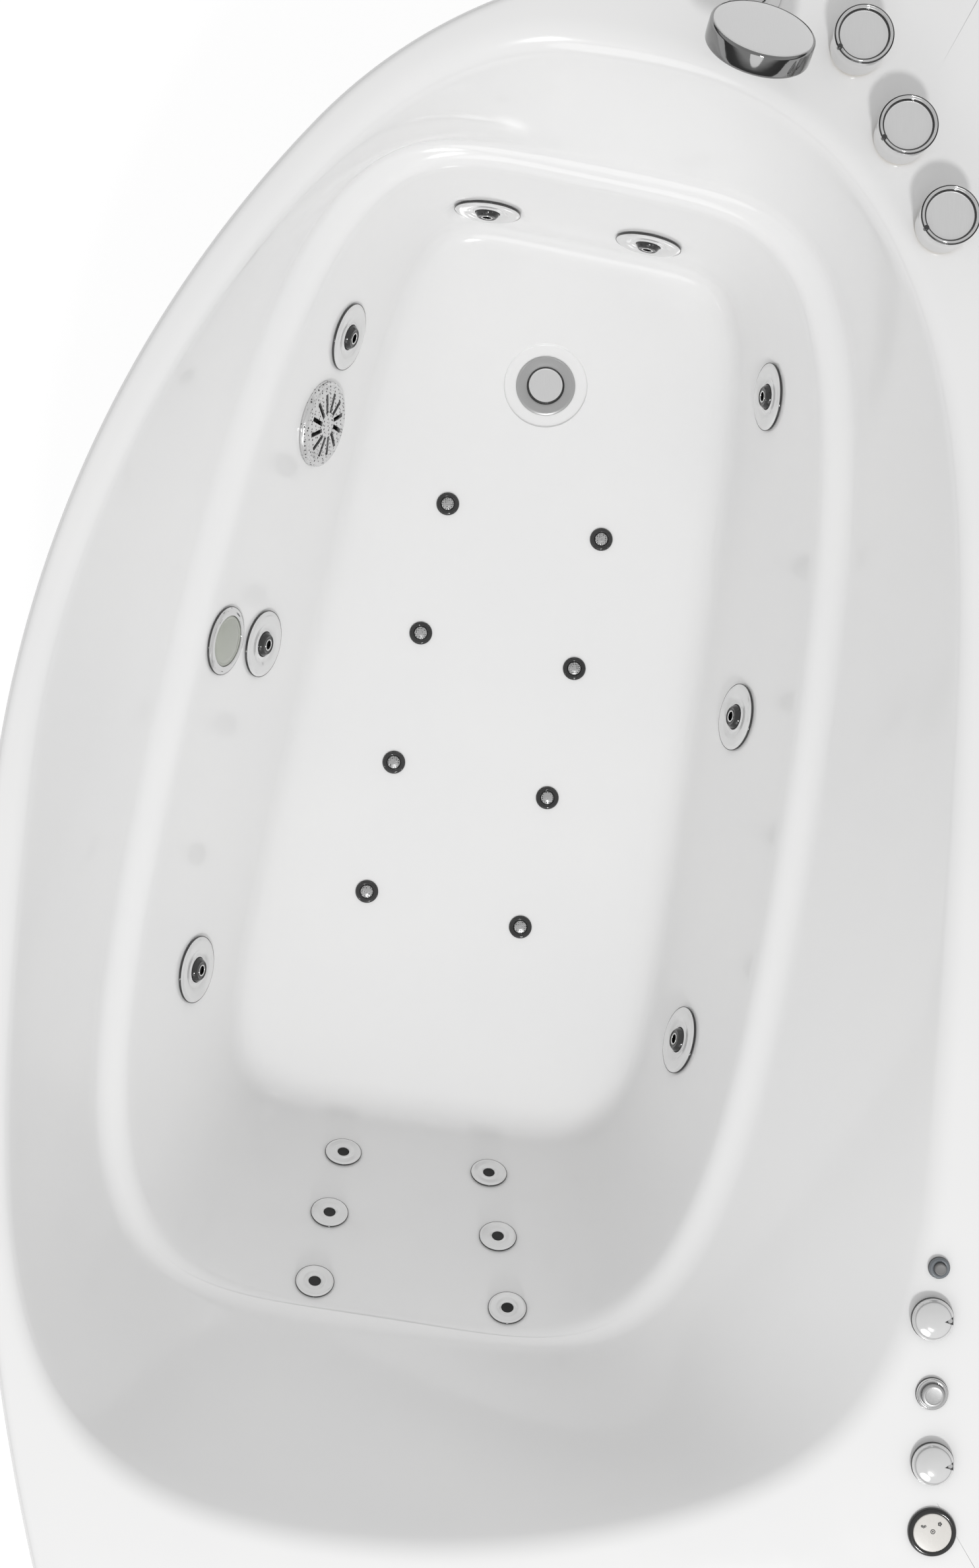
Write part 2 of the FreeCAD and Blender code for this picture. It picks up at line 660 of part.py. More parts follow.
def basin_rings():
    """The basin's outlines from the floor up to its mouth."""
    foot, head = -float(size.bath_length) / 2, float(size.bath_length) / 2
    front, wall = -float(size.bath_width) / 2, float(size.bath_width) / 2
    floor = Ring(
        float(size.floor_level),
        [(foot + float(size.floor_foot_set), front + float(size.floor_foot_front_set)),
         (head - float(size.floor_head_front_reach), front + float(size.floor_head_front_set)),
         (head - float(size.floor_head_wall_reach), wall - float(size.floor_head_wall_set)),
         (foot + float(size.floor_foot_wall_reach), wall - float(size.floor_foot_wall_set))],
        [0, 0, 0, 0],
        [float(size.floor_power)] * 4)
    waist = floor.moved(float(size.waist_level), float(size.waist_lean), float(size.waist_back),
                        float(size.draft) / 2, float(size.waist_crown), float(size.ledge_power) + 1)
    ledge = floor.moved(float(size.ledge_level), float(size.ledge_lean), float(size.ledge_back),
                        float(size.draft), float(size.ledge_crown), float(size.ledge_power))
    ledge_edge = ledge.moved(float(size.ledge_level) + float(size.ledge_rise),
                             float(size.ledge_width), float(size.ledge_rise) * 1.2,
                             float(size.ledge_width) * 0.8, 2, float(size.ledge_power))
    mouth = Ring(
        float(size.rim_height),
        [(foot + float(size.mouth_foot_set), front + float(size.mouth_foot_front_set)),
         (head - float(size.mouth_head_front_reach), front + float(size.mouth_head_front_set)),
         (head - float(size.mouth_head_wall_reach), wall - float(size.mouth_head_wall_set)),
         (foot + float(size.mouth_foot_wall_reach), wall - float(size.mouth_foot_wall_set))],
        [float(size.mouth_front_crown), float(size.mouth_head_crown),
         float(size.mouth_wall_crown), float(size.mouth_foot_crown)],
        [float(size.mouth_foot_front_power), float(size.mouth_head_front_power),
         float(size.mouth_head_wall_power), float(size.mouth_foot_wall_power)])
    shoulder = RingBetween(ledge_edge, mouth, float(size.shoulder_share),
                           float(size.shoulder_level))
    return floor, waist, ledge, ledge_edge, shoulder, mouth


def basin_solid(outset, drop, top_drop):
    """The basin's hollow, or with an outset the outside of its laminate."""
    floor, waist, ledge, ledge_edge, shoulder, mouth = basin_rings()

    def loft(rings, drops, ruled):
        return Part.makeLoft([ring.wire(outset, d) for ring, d in zip(rings, drops)], True, ruled)

    lower = loft([floor, waist, ledge], [drop] * 3, False)
    step = loft([ledge, ledge_edge], [drop] * 2, True)
    upper = loft([ledge_edge, shoulder, mouth], [drop, drop, top_drop], False)
    return lower.fuse([step, upper]).removeSplitter()


def level_edges(solid, level):
    """The level edges of a solid at one height."""
    return [edge for edge in solid.Edges
            if abs(edge.BoundBox.ZMin - level) < 0.3 and edge.BoundBox.ZLength < 0.3]


hollow = basin_solid(0.0, 0.0, 0.0)
hollow = hollow.makeFillet(float(size.floor_round), level_edges(hollow, float(size.floor_level)))
for ledge_line in (float(size.ledge_level), float(size.ledge_level) + float(size.ledge_rise)):
    hollow = hollow.makeFillet(float(size.ledge_round), level_edges(hollow, ledge_line))


# ---------------------------------------------------------------- seats of the fittings

def facing(point, inward, level_line):
    """A seat at a point: its Z axis looks into the basin and its X axis lies level."""
    return FreeCAD.Placement(point, FreeCAD.Rotation(level_line, FreeCAD.Vector(), inward, "ZXY"))


def wall_seat(start, direction):
    """The seat where a level line from inside the basin meets its wall."""
    line = Part.Line(start, start + direction)
    hits = []
    for face in hollow.Faces:
        for hit in line.intersectCS(face.Surface)[0]:
            point = vector(hit.X, hit.Y, hit.Z)
            ahead = (point - start).dot(direction)
            if ahead > 0 and face.distToShape(Part.Vertex(point))[0] < 0.01:
                hits.append((ahead, point, face))
    _, point, face = min(hits, key=lambda hit: hit[0])
    outward = face.normalAt(*face.Surface.parameter(point))
    if outward.dot(direction) < 0:
        outward = outward * -1
    level_line = vector(0, 0, 1).cross(outward * -1).normalize()
    return facing(point, outward * -1, level_line)


FRONT, WALL, FOOT, HEAD = vector(0, -1), vector(0, 1), vector(-1, 0), vector(1, 0)

front_jet_seats = [wall_seat(vector(x, 0, size.front_jet_height), FRONT)
                   for x in (size.front_jet_first, size.front_jet_second, size.front_jet_third)]
wall_jet_seats = [wall_seat(vector(x, 0, size.wall_jet_height), WALL)
                  for x in (size.wall_jet_first, size.wall_jet_second, size.wall_jet_third)]
foot_jet_seats = [wall_seat(vector(-200, y, size.foot_jet_height), FOOT)
                  for y in (size.foot_jet_near, size.foot_jet_far)]
jet_seats = front_jet_seats + wall_jet_seats + foot_jet_seats
jet_names = ["front_foot", "front_middle", "front_head", "wall_foot", "wall_middle", "wall_head",
             "foot_near", "foot_far"]
suction_seat = wall_seat(vector(size.suction_place, 0, size.suction_height), FRONT)
lamp_seat = wall_seat(vector(size.lamp_place, 0, size.lamp_height), FRONT)

back_jet_seats = []
for row in range(3):
    for side in (-1, 1):
        across = size.back_jet_middle + side * (size.back_jet_spread + row * size.back_jet_flare)
        height = size.back_jet_low + row * size.back_jet_rise
        back_jet_seats.append(wall_seat(vector(0, across, height), HEAD))

slant = math.radians(float(size.bath_slant))
floor_jet_seats = []
for row in range(2):
    for place in range(4):
        along = place * float(size.floor_jet_pitch) + row * float(size.floor_jet_stagger)
        aside = row * float(size.floor_jet_gauge)
        x = float(size.floor_jet_start) + along * math.cos(slant) + aside * math.sin(slant)
        y = float(size.floor_jet_offset) - along * math.sin(slant) + aside * math.cos(slant)
        floor_jet_seats.append(upright(x, y, size.floor_level))
drain_seat = upright(size.drain_place, size.drain_offset, size.floor_level)


def rim_seat(x, y):
    return upright(x, y, size.rim_height)


knob_seats = {
    "hot": rim_seat(size.hot_knob_place, size.hot_knob_offset),
    "diverter": rim_seat(size.diverter_knob_place, size.diverter_knob_offset),
    "cold": rim_seat(size.cold_knob_place, size.cold_knob_offset),
}
holder_seat = rim_seat(size.holder_place, size.holder_offset)
lamp_button_seat = rim_seat(size.lamp_button_place, size.lamp_button_offset)
pump_button_seat = rim_seat(size.pump_button_place, size.control_offset)
regulator_seats = [rim_seat(size.first_regulator_place, size.control_offset),
                   rim_seat(size.second_regulator_place, size.control_offset)]
keypad_seat = rim_seat(size.keypad_place, size.control_offset)


# ---------------------------------------------------------------- shell

def seat_hole(seat, diameter, depth=30.0):
    """A round cutter through the skin at a seat."""
    radius = float(diameter) / 2 + float(size.hole_gap)
    hole = cylinder(radius, 2 * depth, vector(0, 0, -depth), vector(0, 0, 1))
    hole.Placement = seat
    return hole


def jet_pad(seat, start, end):
    """A disc a little larger than a large jet's ring, between two depths on its seat."""
    pad = cylinder(size.jet_diameter / 2 + size.pad_room, end - start,
                   vector(0, 0, start), vector(0, 0, 1))
    pad.Placement = seat
    return pad


def round_mouth(shell):
    """Rolls the mouth's edge, by no more than the rim beside it has room for."""
    front, sides = rim_outline(0.0)
    edge_of_rim = Part.Wire(Part.__sortEdges__(front + sides))
    mouth_line = basin_rings()[-1].wire(0.0, float(size.rim_height))
    room = edge_of_rim.distToShape(mouth_line)[0] - float(size.lip_roll)
    mouth = max(level_edges(shell, float(size.rim_height)),
                key=lambda edge: min(edge.BoundBox.XLength, edge.BoundBox.YLength))
    return shell.makeFillet(min(float(size.mouth_round), room * 0.97), [mouth])


def tub_shell():
    """Rim, lip and basin as one laminated skin, with a hole for every fitting."""
    skin = float(size.skin)
    rim, lip = float(size.rim_height), float(size.lip_depth)
    outside = rim_block(0.0, rim - lip, rim)
    outside = outside.makeFillet(float(size.lip_roll), level_edges(outside, rim))
    inside = rim_block(skin, rim - lip, rim - skin)
    inside = inside.makeFillet(float(size.lip_roll) - skin, level_edges(inside, rim - skin))
    shell = outside.cut(inside).fuse(basin_solid(skin, skin, skin / 2))
    recess_floor = vector(size.drain_place, size.drain_offset,
                          size.floor_level - size.recess_depth)
    boss = cylinder(size.drain_recess / 2 + skin, size.recess_depth + skin,
                    recess_floor - vector(0, 0, skin), vector(0, 0, 1))
    pads = [jet_pad(seat, -(size.wall_skin + size.pad_build), 0) for seat in jet_seats]
    shell = round_mouth(shell.fuse([boss] + pads).cut(hollow))
    faces = [cylinder(size.drain_recess / 2, 2 * float(size.recess_depth), recess_floor,
                      vector(0, 0, 1))]
    faces += [jet_pad(seat, 0, size.wall_skin) for seat in jet_seats]
    shell = shell.cut(faces)
    for seat in jet_seats:
        shell = shell.cut(seat_hole(seat, size.jet_barrel))
    cutters = [seat_hole(drain_seat, size.drain_bore + 2 * size.drain_wall)]
    cutters += [seat_hole(suction_seat, size.suction_barrel)]
    cutters += [seat_hole(lamp_seat, size.lamp_barrel)]
    cutters += [seat_hole(seat, size.back_jet_barrel) for seat in back_jet_seats]
    cutters += [seat_hole(seat, size.floor_jet_barrel) for seat in floor_jet_seats]
    cutters += [seat_hole(seat, size.valve_diameter) for seat in knob_seats.values()]
    cutters += [seat_hole(holder_seat, size.sleeve_diameter)]
    cutters += [seat_hole(seat, size.regulator_barrel) for seat in regulator_seats]
    cutters += [seat_hole(lamp_button_seat, size.lamp_button_diameter - size.button_step)]
    cutters += [seat_hole(pump_button_seat, size.pump_button_diameter - size.button_step)]
    cutters += [seat_hole(keypad_seat, size.keypad_barrel)]
    shell = shell.cut(cutters)
    return keep(shaped("tub_shell", shell.Solids[0]), "tub_shell")


# ---------------------------------------------------------------- large jets

def jet_ring():
    """Dished cover ring of a large jet."""
    outer, bore = size.jet_diameter / 2, size.nozzle_diameter / 2 + size.ball_gap
    face = size.curve_gap + size.jet_thickness
    return turned("jet_ring", [
        (bore, size.curve_gap),
        (outer, size.curve_gap),
        (outer, face - size.jet_thickness / 2),
        (outer - size.jet_thickness, face),
        (bore, face - size.jet_thickness / 3),
    ])


def jet_nozzle(label):
    """A nozzle that swivels about the level line through its fullest circle."""
    widest, bore = size.nozzle_diameter / 2, size.nozzle_bore / 2
    middle = size.curve_gap + size.jet_thickness / 3
    return turned(label, [
        (bore, middle - size.nozzle_tail),
        (widest - size.nozzle_taper, middle - size.nozzle_tail),
        (widest, middle),
        (widest - size.nozzle_taper, middle + size.nozzle_tip),
        (bore, middle + size.nozzle_tip),
    ])


def jet_cavity():
    """Radius, floor and roof of a large jet's chamber on its seat."""
    roof = -(size.wall_skin + size.pad_build + size.flat_gap + size.collar + size.jet_wall)
    return size.jet_chamber / 2 - size.jet_wall, -size.jet_depth + size.jet_wall, roof


def jet_shell():
    """Barrel through the skin, collar behind it and closed chamber of a large jet."""
    barrel, chamber = size.jet_barrel / 2, size.jet_chamber / 2
    bore = barrel - size.jet_wall
    cavity, low, roof = jet_cavity()
    behind = roof + size.jet_wall + size.collar
    return turned("jet_shell", [
        (bore, size.curve_gap),
        (barrel, size.curve_gap),
        (barrel, behind),
        (chamber + size.jet_wall, behind),
        (chamber + size.jet_wall, behind - size.collar),
        (chamber, behind - size.collar),
        (chamber, -size.jet_depth),
        (0, -size.jet_depth),
        (0, low),
        (cavity, low),
        (cavity, roof),
        (bore, roof),
    ])


def chamber_point(seat):
    """The middle of a jet's chamber, where its pipe sockets meet."""
    depth = float(size.jet_depth) - float(size.jet_chamber) / 2
    return seat.multVec(vector(0, 0, -depth))


def water_runs():
    """Routes of the water pipes: between jets, and from the pump to the last jet each side."""
    front = [chamber_point(seat) for seat in front_jet_seats]
    wall = [chamber_point(seat) for seat in wall_jet_seats]
    foot = [chamber_point(seat) for seat in foot_jet_seats]
    corner = vector(size.corner_pipe_place, size.corner_pipe_offset, foot[1].z)
    corner_end = vector(foot[1].x, size.corner_pipe_offset - size.corner_pipe_cut, foot[1].z)
    along = (front[1] - front[0]).normalize()
    behind = suction_seat.multVec(vector(0, 0, -size.bypass_depth))
    behind += vector(0, 0, size.bypass_rise)
    bypass = [behind - along * float(size.bypass_start), behind + along * float(size.bypass_end)]
    runs = [[front[0]] + bypass + [front[1]],
            [front[1], front[2]], [wall[0], wall[1]], [wall[1], wall[2]],
            [foot[0], foot[1]], [wall[0], corner, corner_end, foot[1]]]
    tee = vector(size.pump_place, size.pump_start - size.volute_length / 2,
                 size.pump_height + size.tee_height)
    front_turn = vector(size.pump_place, size.front_riser_offset, tee.z)
    front_drop = vector(size.riser_place, size.front_riser_offset, front[2].z)
    wall_turn = vector(size.pump_place, size.wall_riser_offset, tee.z)
    wall_drop = vector(size.riser_place, size.wall_riser_offset, wall[2].z)
    runs.append([tee, front_turn, front_drop, front[2]])
    runs.append([tee, wall_turn, wall_drop, wall[2]])
    return runs


def shortened(points, reach):
    """A route with both ends drawn back to the faces of their sockets."""
    first = points[0] + (points[1] - points[0]).normalize() * reach
    last = points[-1] + (points[-2] - points[-1]).normalize() * reach
    return [first] + points[1:-1] + [last]


def with_sockets(shell, middle, inside, directions, radius):
    """A hollow body with a bored socket from its middle along each direction."""
    reach, wall = float(size.jet_port), float(size.jet_wall)
    for direction in directions:
        shell = shell.fuse(cylinder(radius + wall / 2, reach, middle, direction))
    bores = [cylinder(radius - wall, reach, middle, direction) for direction in directions]
    hollow_shell = shell.cut([inside] + bores).removeSplitter()
    return max(hollow_shell.Solids, key=lambda solid: solid.Volume)


def jet_bodies():
    """The bodies of the large jets, each with a socket for every water pipe that meets it."""
    master = jet_shell()
    doc.recompute()
    cavity, low, roof = jet_cavity()
    ends = [end for run in water_runs() for end in ((run[0], run[1]), (run[-1], run[-2]))]
    bodies = []
    for seat in jet_seats:
        middle = chamber_point(seat)
        body = master.Shape.Solids[0].copy()
        body.Placement = seat
        inside = cylinder(cavity, roof - low, vector(0, 0, low), vector(0, 0, 1))
        inside.Placement = seat
        directions = [(toward - start).normalize() for start, toward in ends
                      if start.distanceToPoint(middle) < 1]
        bodies.append(with_sockets(body, middle, inside, directions, float(size.water_pipe) / 2))
    return keep(shaped("jet_bodies", Part.makeCompound(bodies)), "jet_bodies")


def large_jets():
    ring = jet_ring()
    doc.recompute()
    keep(copies("jet_rings", ring, jet_seats), "jet_rings")
    for name, seat in zip(jet_names, jet_seats):
        keep(placed(jet_nozzle(f"jet_nozzle_{name}"), seat), f"jet_nozzle_{name}")
    jet_bodies()


# ---------------------------------------------------------------- small jets, suction and lamp

def back_jets():
    """Round covers on the backrest, and their threaded bodies behind it."""
    bore, barrel = size.back_jet_bore / 2, size.back_jet_barrel / 2
    face = size.curve_gap + size.back_jet_thickness
    cover = turned("back_jet_cover", [
        (bore, size.curve_gap),
        (size.back_jet_diameter / 2, size.curve_gap),
        (size.back_jet_diameter / 2, face - size.back_jet_thickness / 2),
        (bore + size.back_jet_thickness, face),
        (bore, face - size.back_jet_thickness / 2),
    ])
    behind = -(size.back_skin + size.flat_gap)
    body = turned("back_jet_body", [
        (bore, size.curve_gap),
        (barrel, size.curve_gap),
        (barrel, behind),
        (barrel + size.jet_wall, behind),
        (barrel + size.jet_wall, behind - size.collar),
        (barrel, behind - size.collar),
        (barrel, -size.back_jet_depth),
        (0, -size.back_jet_depth),
        (0, behind - size.collar),
        (bore, behind - size.collar),
    ])
    doc.recompute()
    keep(copies("back_jet_covers", cover, back_jet_seats), "back_jet_covers")
    keep(copies("back_jet_bodies", body, back_jet_seats), "back_jet_bodies")


def floor_jets():
    """Air jets of the floor: a ring with its barrel below the base board, and a cap."""
    barrel, ring = size.floor_jet_barrel / 2, size.floor_jet_diameter / 2
    cap = size.floor_cap_diameter / 2
    end = size.air_pipe_level + size.air_pipe / 2 - size.floor_level
    body = turned("floor_jet_body", [
        (0, size.floor_jet_thickness / 3),
        (cap, size.floor_jet_thickness / 3),
        (cap, size.floor_jet_thickness),
        (ring - size.floor_jet_thickness / 2, size.floor_jet_thickness),
        (ring, 0),
        (barrel, 0),
        (barrel, end),
        (0, end),
    ])
    button = turned("floor_jet_cap", [
        (0, size.floor_jet_thickness / 3),
        (cap - size.turn_gap, size.floor_jet_thickness / 3),
        (cap - size.turn_gap, size.floor_jet_thickness),
        (0, size.floor_jet_thickness * 1.3),
    ])
    doc.recompute()
    keep(copies("floor_jet_bodies", body, floor_jet_seats), "floor_jet_bodies")
    keep(copies("floor_jet_caps", button, floor_jet_seats), "floor_jet_caps")


def suction():
    """Slotted cover of the suction, and its body with a socket for the pump's pipe."""
    outer, barrel = size.suction_diameter / 2, size.suction_barrel / 2
    face = size.curve_gap + size.suction_thickness
    cover = turned("suction_cover", [
        (0, size.curve_gap + size.suction_thickness / 2),
        (barrel, size.curve_gap + size.suction_thickness / 2),
        (barrel, size.curve_gap),
        (outer, size.curve_gap),
        (outer, size.curve_gap + size.suction_thickness / 3),
        (outer - size.suction_thickness, face),
        (0, face + size.suction_thickness / 4),
    ])
    slot = cover.newObject("Sketcher::SketchObject", "slot")
    slot.AttachmentSupport = (origin_plane(cover, "XY_Plane"), [""])
    slot.MapMode = "FlatFace"
    half, start = size.slot_width / 2, size.slot_start
    corners = [(start, -half), (start + size.slot_length, -half),
               (start + size.slot_length, half), (start, half)]
    draw_outline(slot, corners)
    cut = cover.newObject("PartDesign::Pocket", "slot_cut")
    cut.Profile = slot
    cut.Reversed = True
    bind(cut, "Length", size.suction_thickness * 2)
    ring_of_slots = cover.newObject("PartDesign::PolarPattern", "slots")
    ring_of_slots.Originals = [cut]
    ring_of_slots.Axis = (slot, ["N_Axis"])
    ring_of_slots.Angle = 360
    bind(ring_of_slots, "Occurrences", size.slot_count)
    cover.Tip = ring_of_slots
    keep(placed(cover, suction_seat), "suction_cover")

    behind = -(size.wall_skin + size.flat_gap)
    body = turned("suction_shell", [
        (barrel - size.jet_wall, size.curve_gap),
        (barrel, size.curve_gap),
        (barrel, behind),
        (barrel + 2 * size.jet_wall, behind),
        (barrel + 2 * size.jet_wall, behind - size.collar),
        (barrel, behind - size.collar),
        (barrel, -size.suction_depth),
        (0, -size.suction_depth),
        (0, -size.suction_depth + size.jet_wall),
        (barrel - size.jet_wall, -size.suction_depth + size.jet_wall),
    ])
    doc.recompute()
    shell = body.Shape.Solids[0].copy()
    shell.Placement = suction_seat
    inside = cylinder(size.suction_barrel / 2 - size.jet_wall,
                      size.suction_depth - size.jet_wall,
                      vector(0, 0, -size.suction_depth + size.jet_wall), vector(0, 0, 1))
    inside.Placement = suction_seat
    shell = with_sockets(shell, suction_middle(), inside, [vector(0, 0, -1)],
                         float(size.suction_pipe) / 2)
    keep(shaped("suction_body", shell), "suction_body")


def suction_middle():
    depth = float(size.suction_depth) - float(size.suction_barrel) / 2
    return suction_seat.multVec(vector(0, 0, -depth))


def lamp():
    """Underwater lamp: bezel, domed lens, and the housing behind the wall."""
    outer, lens = size.lamp_diameter / 2, size.lens_diameter / 2
    face = size.curve_gap + size.jet_thickness
    bezel = turned("lamp_bezel", [
        (lens, size.curve_gap),
        (outer, size.curve_gap),
        (outer, size.curve_gap + size.jet_thickness / 2),
        (lens + size.jet_thickness / 2, face),
        (lens, face),
    ])
    keep(placed(bezel, lamp_seat), "lamp_bezel")
    glass = turned("lamp_lens", [
        (0, size.curve_gap),
        (lens - size.turn_gap, size.curve_gap),
        (lens - size.turn_gap, face - size.jet_thickness / 3),
        (lens * 0.7, face + size.jet_thickness / 3),
        (0, face + size.jet_thickness * 0.6),
    ])
    keep(placed(glass, lamp_seat), "lamp_lens")
    barrel = size.lamp_barrel / 2
    behind = -(size.wall_skin + size.flat_gap)
    housing = turned("lamp_housing", [
        (0, size.curve_gap),
        (barrel, size.curve_gap),
        (barrel, behind),
        (barrel + size.jet_wall * 1.5, behind),
        (barrel + size.jet_wall * 1.5, behind - size.collar),
        (barrel, behind - size.collar),
        (barrel, behind - size.lamp_depth),
        (0, behind - size.lamp_depth),
    ])
    keep(placed(housing, lamp_seat), "lamp_housing")


# ---------------------------------------------------------------- waste

def waste():
    """Flange in the moulded recess, lifting plug, and the trap under the floor."""
    throat, wall = size.drain_bore / 2, size.drain_wall
    sunk = -size.recess_depth
    flange = turned("drain_flange", [
        (throat, sunk + size.flange_dish),
        (size.flange_diameter / 2 - wall, sunk + size.recess_depth * 0.8),
        (size.flange_diameter / 2, sunk + size.flange_dish),
        (size.flange_diameter / 2, sunk),
        (throat + wall, sunk),
        (throat + wall, -size.flange_reach),
        (throat, -size.flange_reach),
    ])
    keep(placed(flange, drain_seat), "drain_flange")
    stem, spider = size.plug_stem / 2, -size.flange_reach
    disc = sunk + size.plug_rest
    plug = turned("drain_plug", [
        (0, spider + size.plug_travel * 0.2),
        (stem, spider + size.plug_travel * 0.2),
        (stem, disc),
        (size.plug_diameter / 2, disc),
        (size.plug_diameter / 2, disc + size.plug_thickness * 0.7),
        (size.plug_diameter / 2 - 1, disc + size.plug_thickness),
        (0, disc + size.plug_thickness),
    ])
    keep(placed(plug, drain_seat), "drain_plug")

    top = sunk - size.skin - size.flat_gap
    cup, neck = size.trap_diameter / 2, throat + wall + size.turn_gap
    foot = size.trap_bottom - size.floor_level
    trap = turned("trap_blank", [
        (neck, top),
        (neck + size.trap_wall * 2, top),
        (neck + size.trap_wall * 2, top - size.trap_neck),
        (cup, top - size.trap_neck),
        (cup, foot),
        (0, foot),
        (0, foot + size.trap_wall),
        (cup - size.trap_wall, foot + size.trap_wall),
        (cup - size.trap_wall, top - size.trap_neck - size.trap_wall),
        (stem + size.turn_gap + size.trap_wall * 2, top - size.trap_neck - size.trap_wall),
        (stem + size.turn_gap, top - size.trap_neck - size.trap_wall),
        (stem + size.turn_gap, -size.flange_reach),
        (neck, -size.flange_reach),
    ])
    doc.recompute()
    solid = trap.Shape.Solids[0].copy()
    solid.Placement = drain_seat
    start = outlet_start()
    outlet = cylinder(size.waste_diameter / 2, size.outlet_reach, start, WALL)
    collar = cylinder(size.waste_diameter / 2 + size.trap_wall * 2, size.outlet_collar, start, WALL)
    bore = cylinder(size.waste_diameter / 2 - size.trap_wall, size.outlet_reach, start, WALL)
    inside = cylinder(cup - size.trap_wall, size.floor_level, vector(start.x, start.y, 0),
                      vector(0, 0, 1))
    solid = solid.fuse([outlet.cut(inside), collar.cut(inside)]).cut(bore).removeSplitter()
    keep(shaped("waste_trap", solid), "waste_trap")


def outlet_start():
    """Where the axis of the waste outlet leaves the axis of the trap."""
    return vector(size.drain_place, size.drain_offset, size.waste_outlet_height)


# ---------------------------------------------------------------- taps and hand shower

def tap_knob(label, seat):
    """Cupped tap knob with an inset face and a small pin on its edge."""
    outer, face = size.knob_diameter / 2, size.flat_gap + size.valve_flange + size.knob_height
    cup = outer - size.knob_wall
    knob = turned(label, [
        (size.spindle_diameter / 2 + size.turn_gap, size.flat_gap + size.valve_flange),
        (outer - size.knob_wall / 2, size.flat_gap + size.valve_flange),
        (outer, size.flat_gap + size.valve_flange + size.knob_height * 0.8),
        (outer, face),
        (cup, face),
        (cup, face - size.knob_cup),
        (0, face - size.knob_cup),
        (0, face - size.knob_cup - size.knob_wall),
        (size.spindle_diameter / 2 + size.turn_gap, face - size.knob_cup - size.knob_wall),
    ])
    pin = knob.newObject("Sketcher::SketchObject", "pin_outline")
    pin.AttachmentSupport = (origin_plane(knob, "XY_Plane"), [""])
    pin.MapMode = "FlatFace"
    bind(pin, "AttachmentOffset.Base.z", face - size.knob_cup)
    angle = math.radians(float(size.pin_angle))
    middle = (outer - size.knob_wall / 2)
    start = vector(middle * math.cos(angle), middle * math.sin(angle))
    pin.addGeometry(Part.Circle(start, vector(0, 0, 1), float(size.pin_diameter) / 2), False)
    stud = knob.newObject("PartDesign::Pad", "pin")
    stud.Profile = pin
    bind(stud, "Length", size.knob_cup + size.pin_diameter / 3)
    knob.Tip = stud
    return keep(placed(knob, seat), label)


def tap_valve():
    """Flange on the rim, threaded body and nut under it, and the spindle that carries a knob."""
    body, spindle = size.valve_diameter / 2, size.spindle_diameter / 2
    top = size.flat_gap + size.valve_flange + size.knob_height - size.knob_cup - size.knob_wall
    under = -(size.skin + size.flat_gap)
    return turned("tap_valve", [
        (0, top - size.flat_gap),
        (spindle, top - size.flat_gap),
        (spindle, size.valve_flange),
        (size.knob_diameter / 2 - size.knob_wall, size.valve_flange),
        (size.knob_diameter / 2 - size.knob_wall, 0),
        (body, 0),
        (body, under),
        (body + size.jet_wall * 1.5, under),
        (body + size.jet_wall * 1.5, under - size.collar),
        (body, under - size.collar),
        (body, -size.valve_depth),
        (0, -size.valve_depth),
    ])


def taps():
    for name, seat in knob_seats.items():
        tap_knob(f"{name}_knob", seat)
    valve = tap_valve()
    doc.recompute()
    keep(copies("tap_valves", valve, knob_seats.values()), "tap_valves")


def hand_shower():
    """A round head on a bent handle that lifts out of its holder in the rim."""
    sleeve, bore = size.sleeve_diameter / 2, size.handle_diameter / 2 + size.turn_gap
    under = -(size.skin + size.flat_gap)
    holder = turned("shower_holder", [
        (bore, size.holder_rise),
        (sleeve, size.holder_rise),
        (size.holder_diameter / 2, size.holder_rise / 3),
        (size.holder_diameter / 2, 0),
        (sleeve, 0),
        (sleeve, under),
        (sleeve + size.jet_wall * 1.5, under),
        (sleeve + size.jet_wall * 1.5, under - size.collar),
        (sleeve, under - size.collar),
        (sleeve, -size.handle_reach),
        (bore, -size.handle_reach),
    ])
    keep(placed(holder, holder_seat), "shower_holder")

    tilt = math.radians(float(size.shower_tilt))
    radius, bend = float(size.handle_diameter) / 2, float(size.handle_bend)
    foot = vector(0, 0, -size.handle_reach)
    head = vector(size.shower_throw, 0, size.shower_rise)
    slope = vector(math.cos(tilt), 0, math.sin(tilt))
    knee = vector(0, 0, head.z - head.x * math.tan(tilt))
    handle = pipe([foot, knee, head], radius, bend)
    face = vector(math.sin(tilt), 0, -math.cos(tilt))
    half = float(size.shower_thickness) / 2
    disc = cylinder(size.shower_diameter / 2, 2 * half, head - face * half, face)
    rims = [edge for edge in disc.Edges if edge.Length > disc.BoundBox.YLength * 2]
    disc = disc.makeFillet(float(size.shower_edge), rims)
    shower = handle.fuse(disc).removeSplitter()
    hand = shaped("hand_shower", shower)
    turn = FreeCAD.Rotation(vector(0, 0, 1), float(size.shower_turn))
    keep(placed(hand, FreeCAD.Placement(holder_seat.Base, turn)), "hand_shower")


# ---------------------------------------------------------------- controls

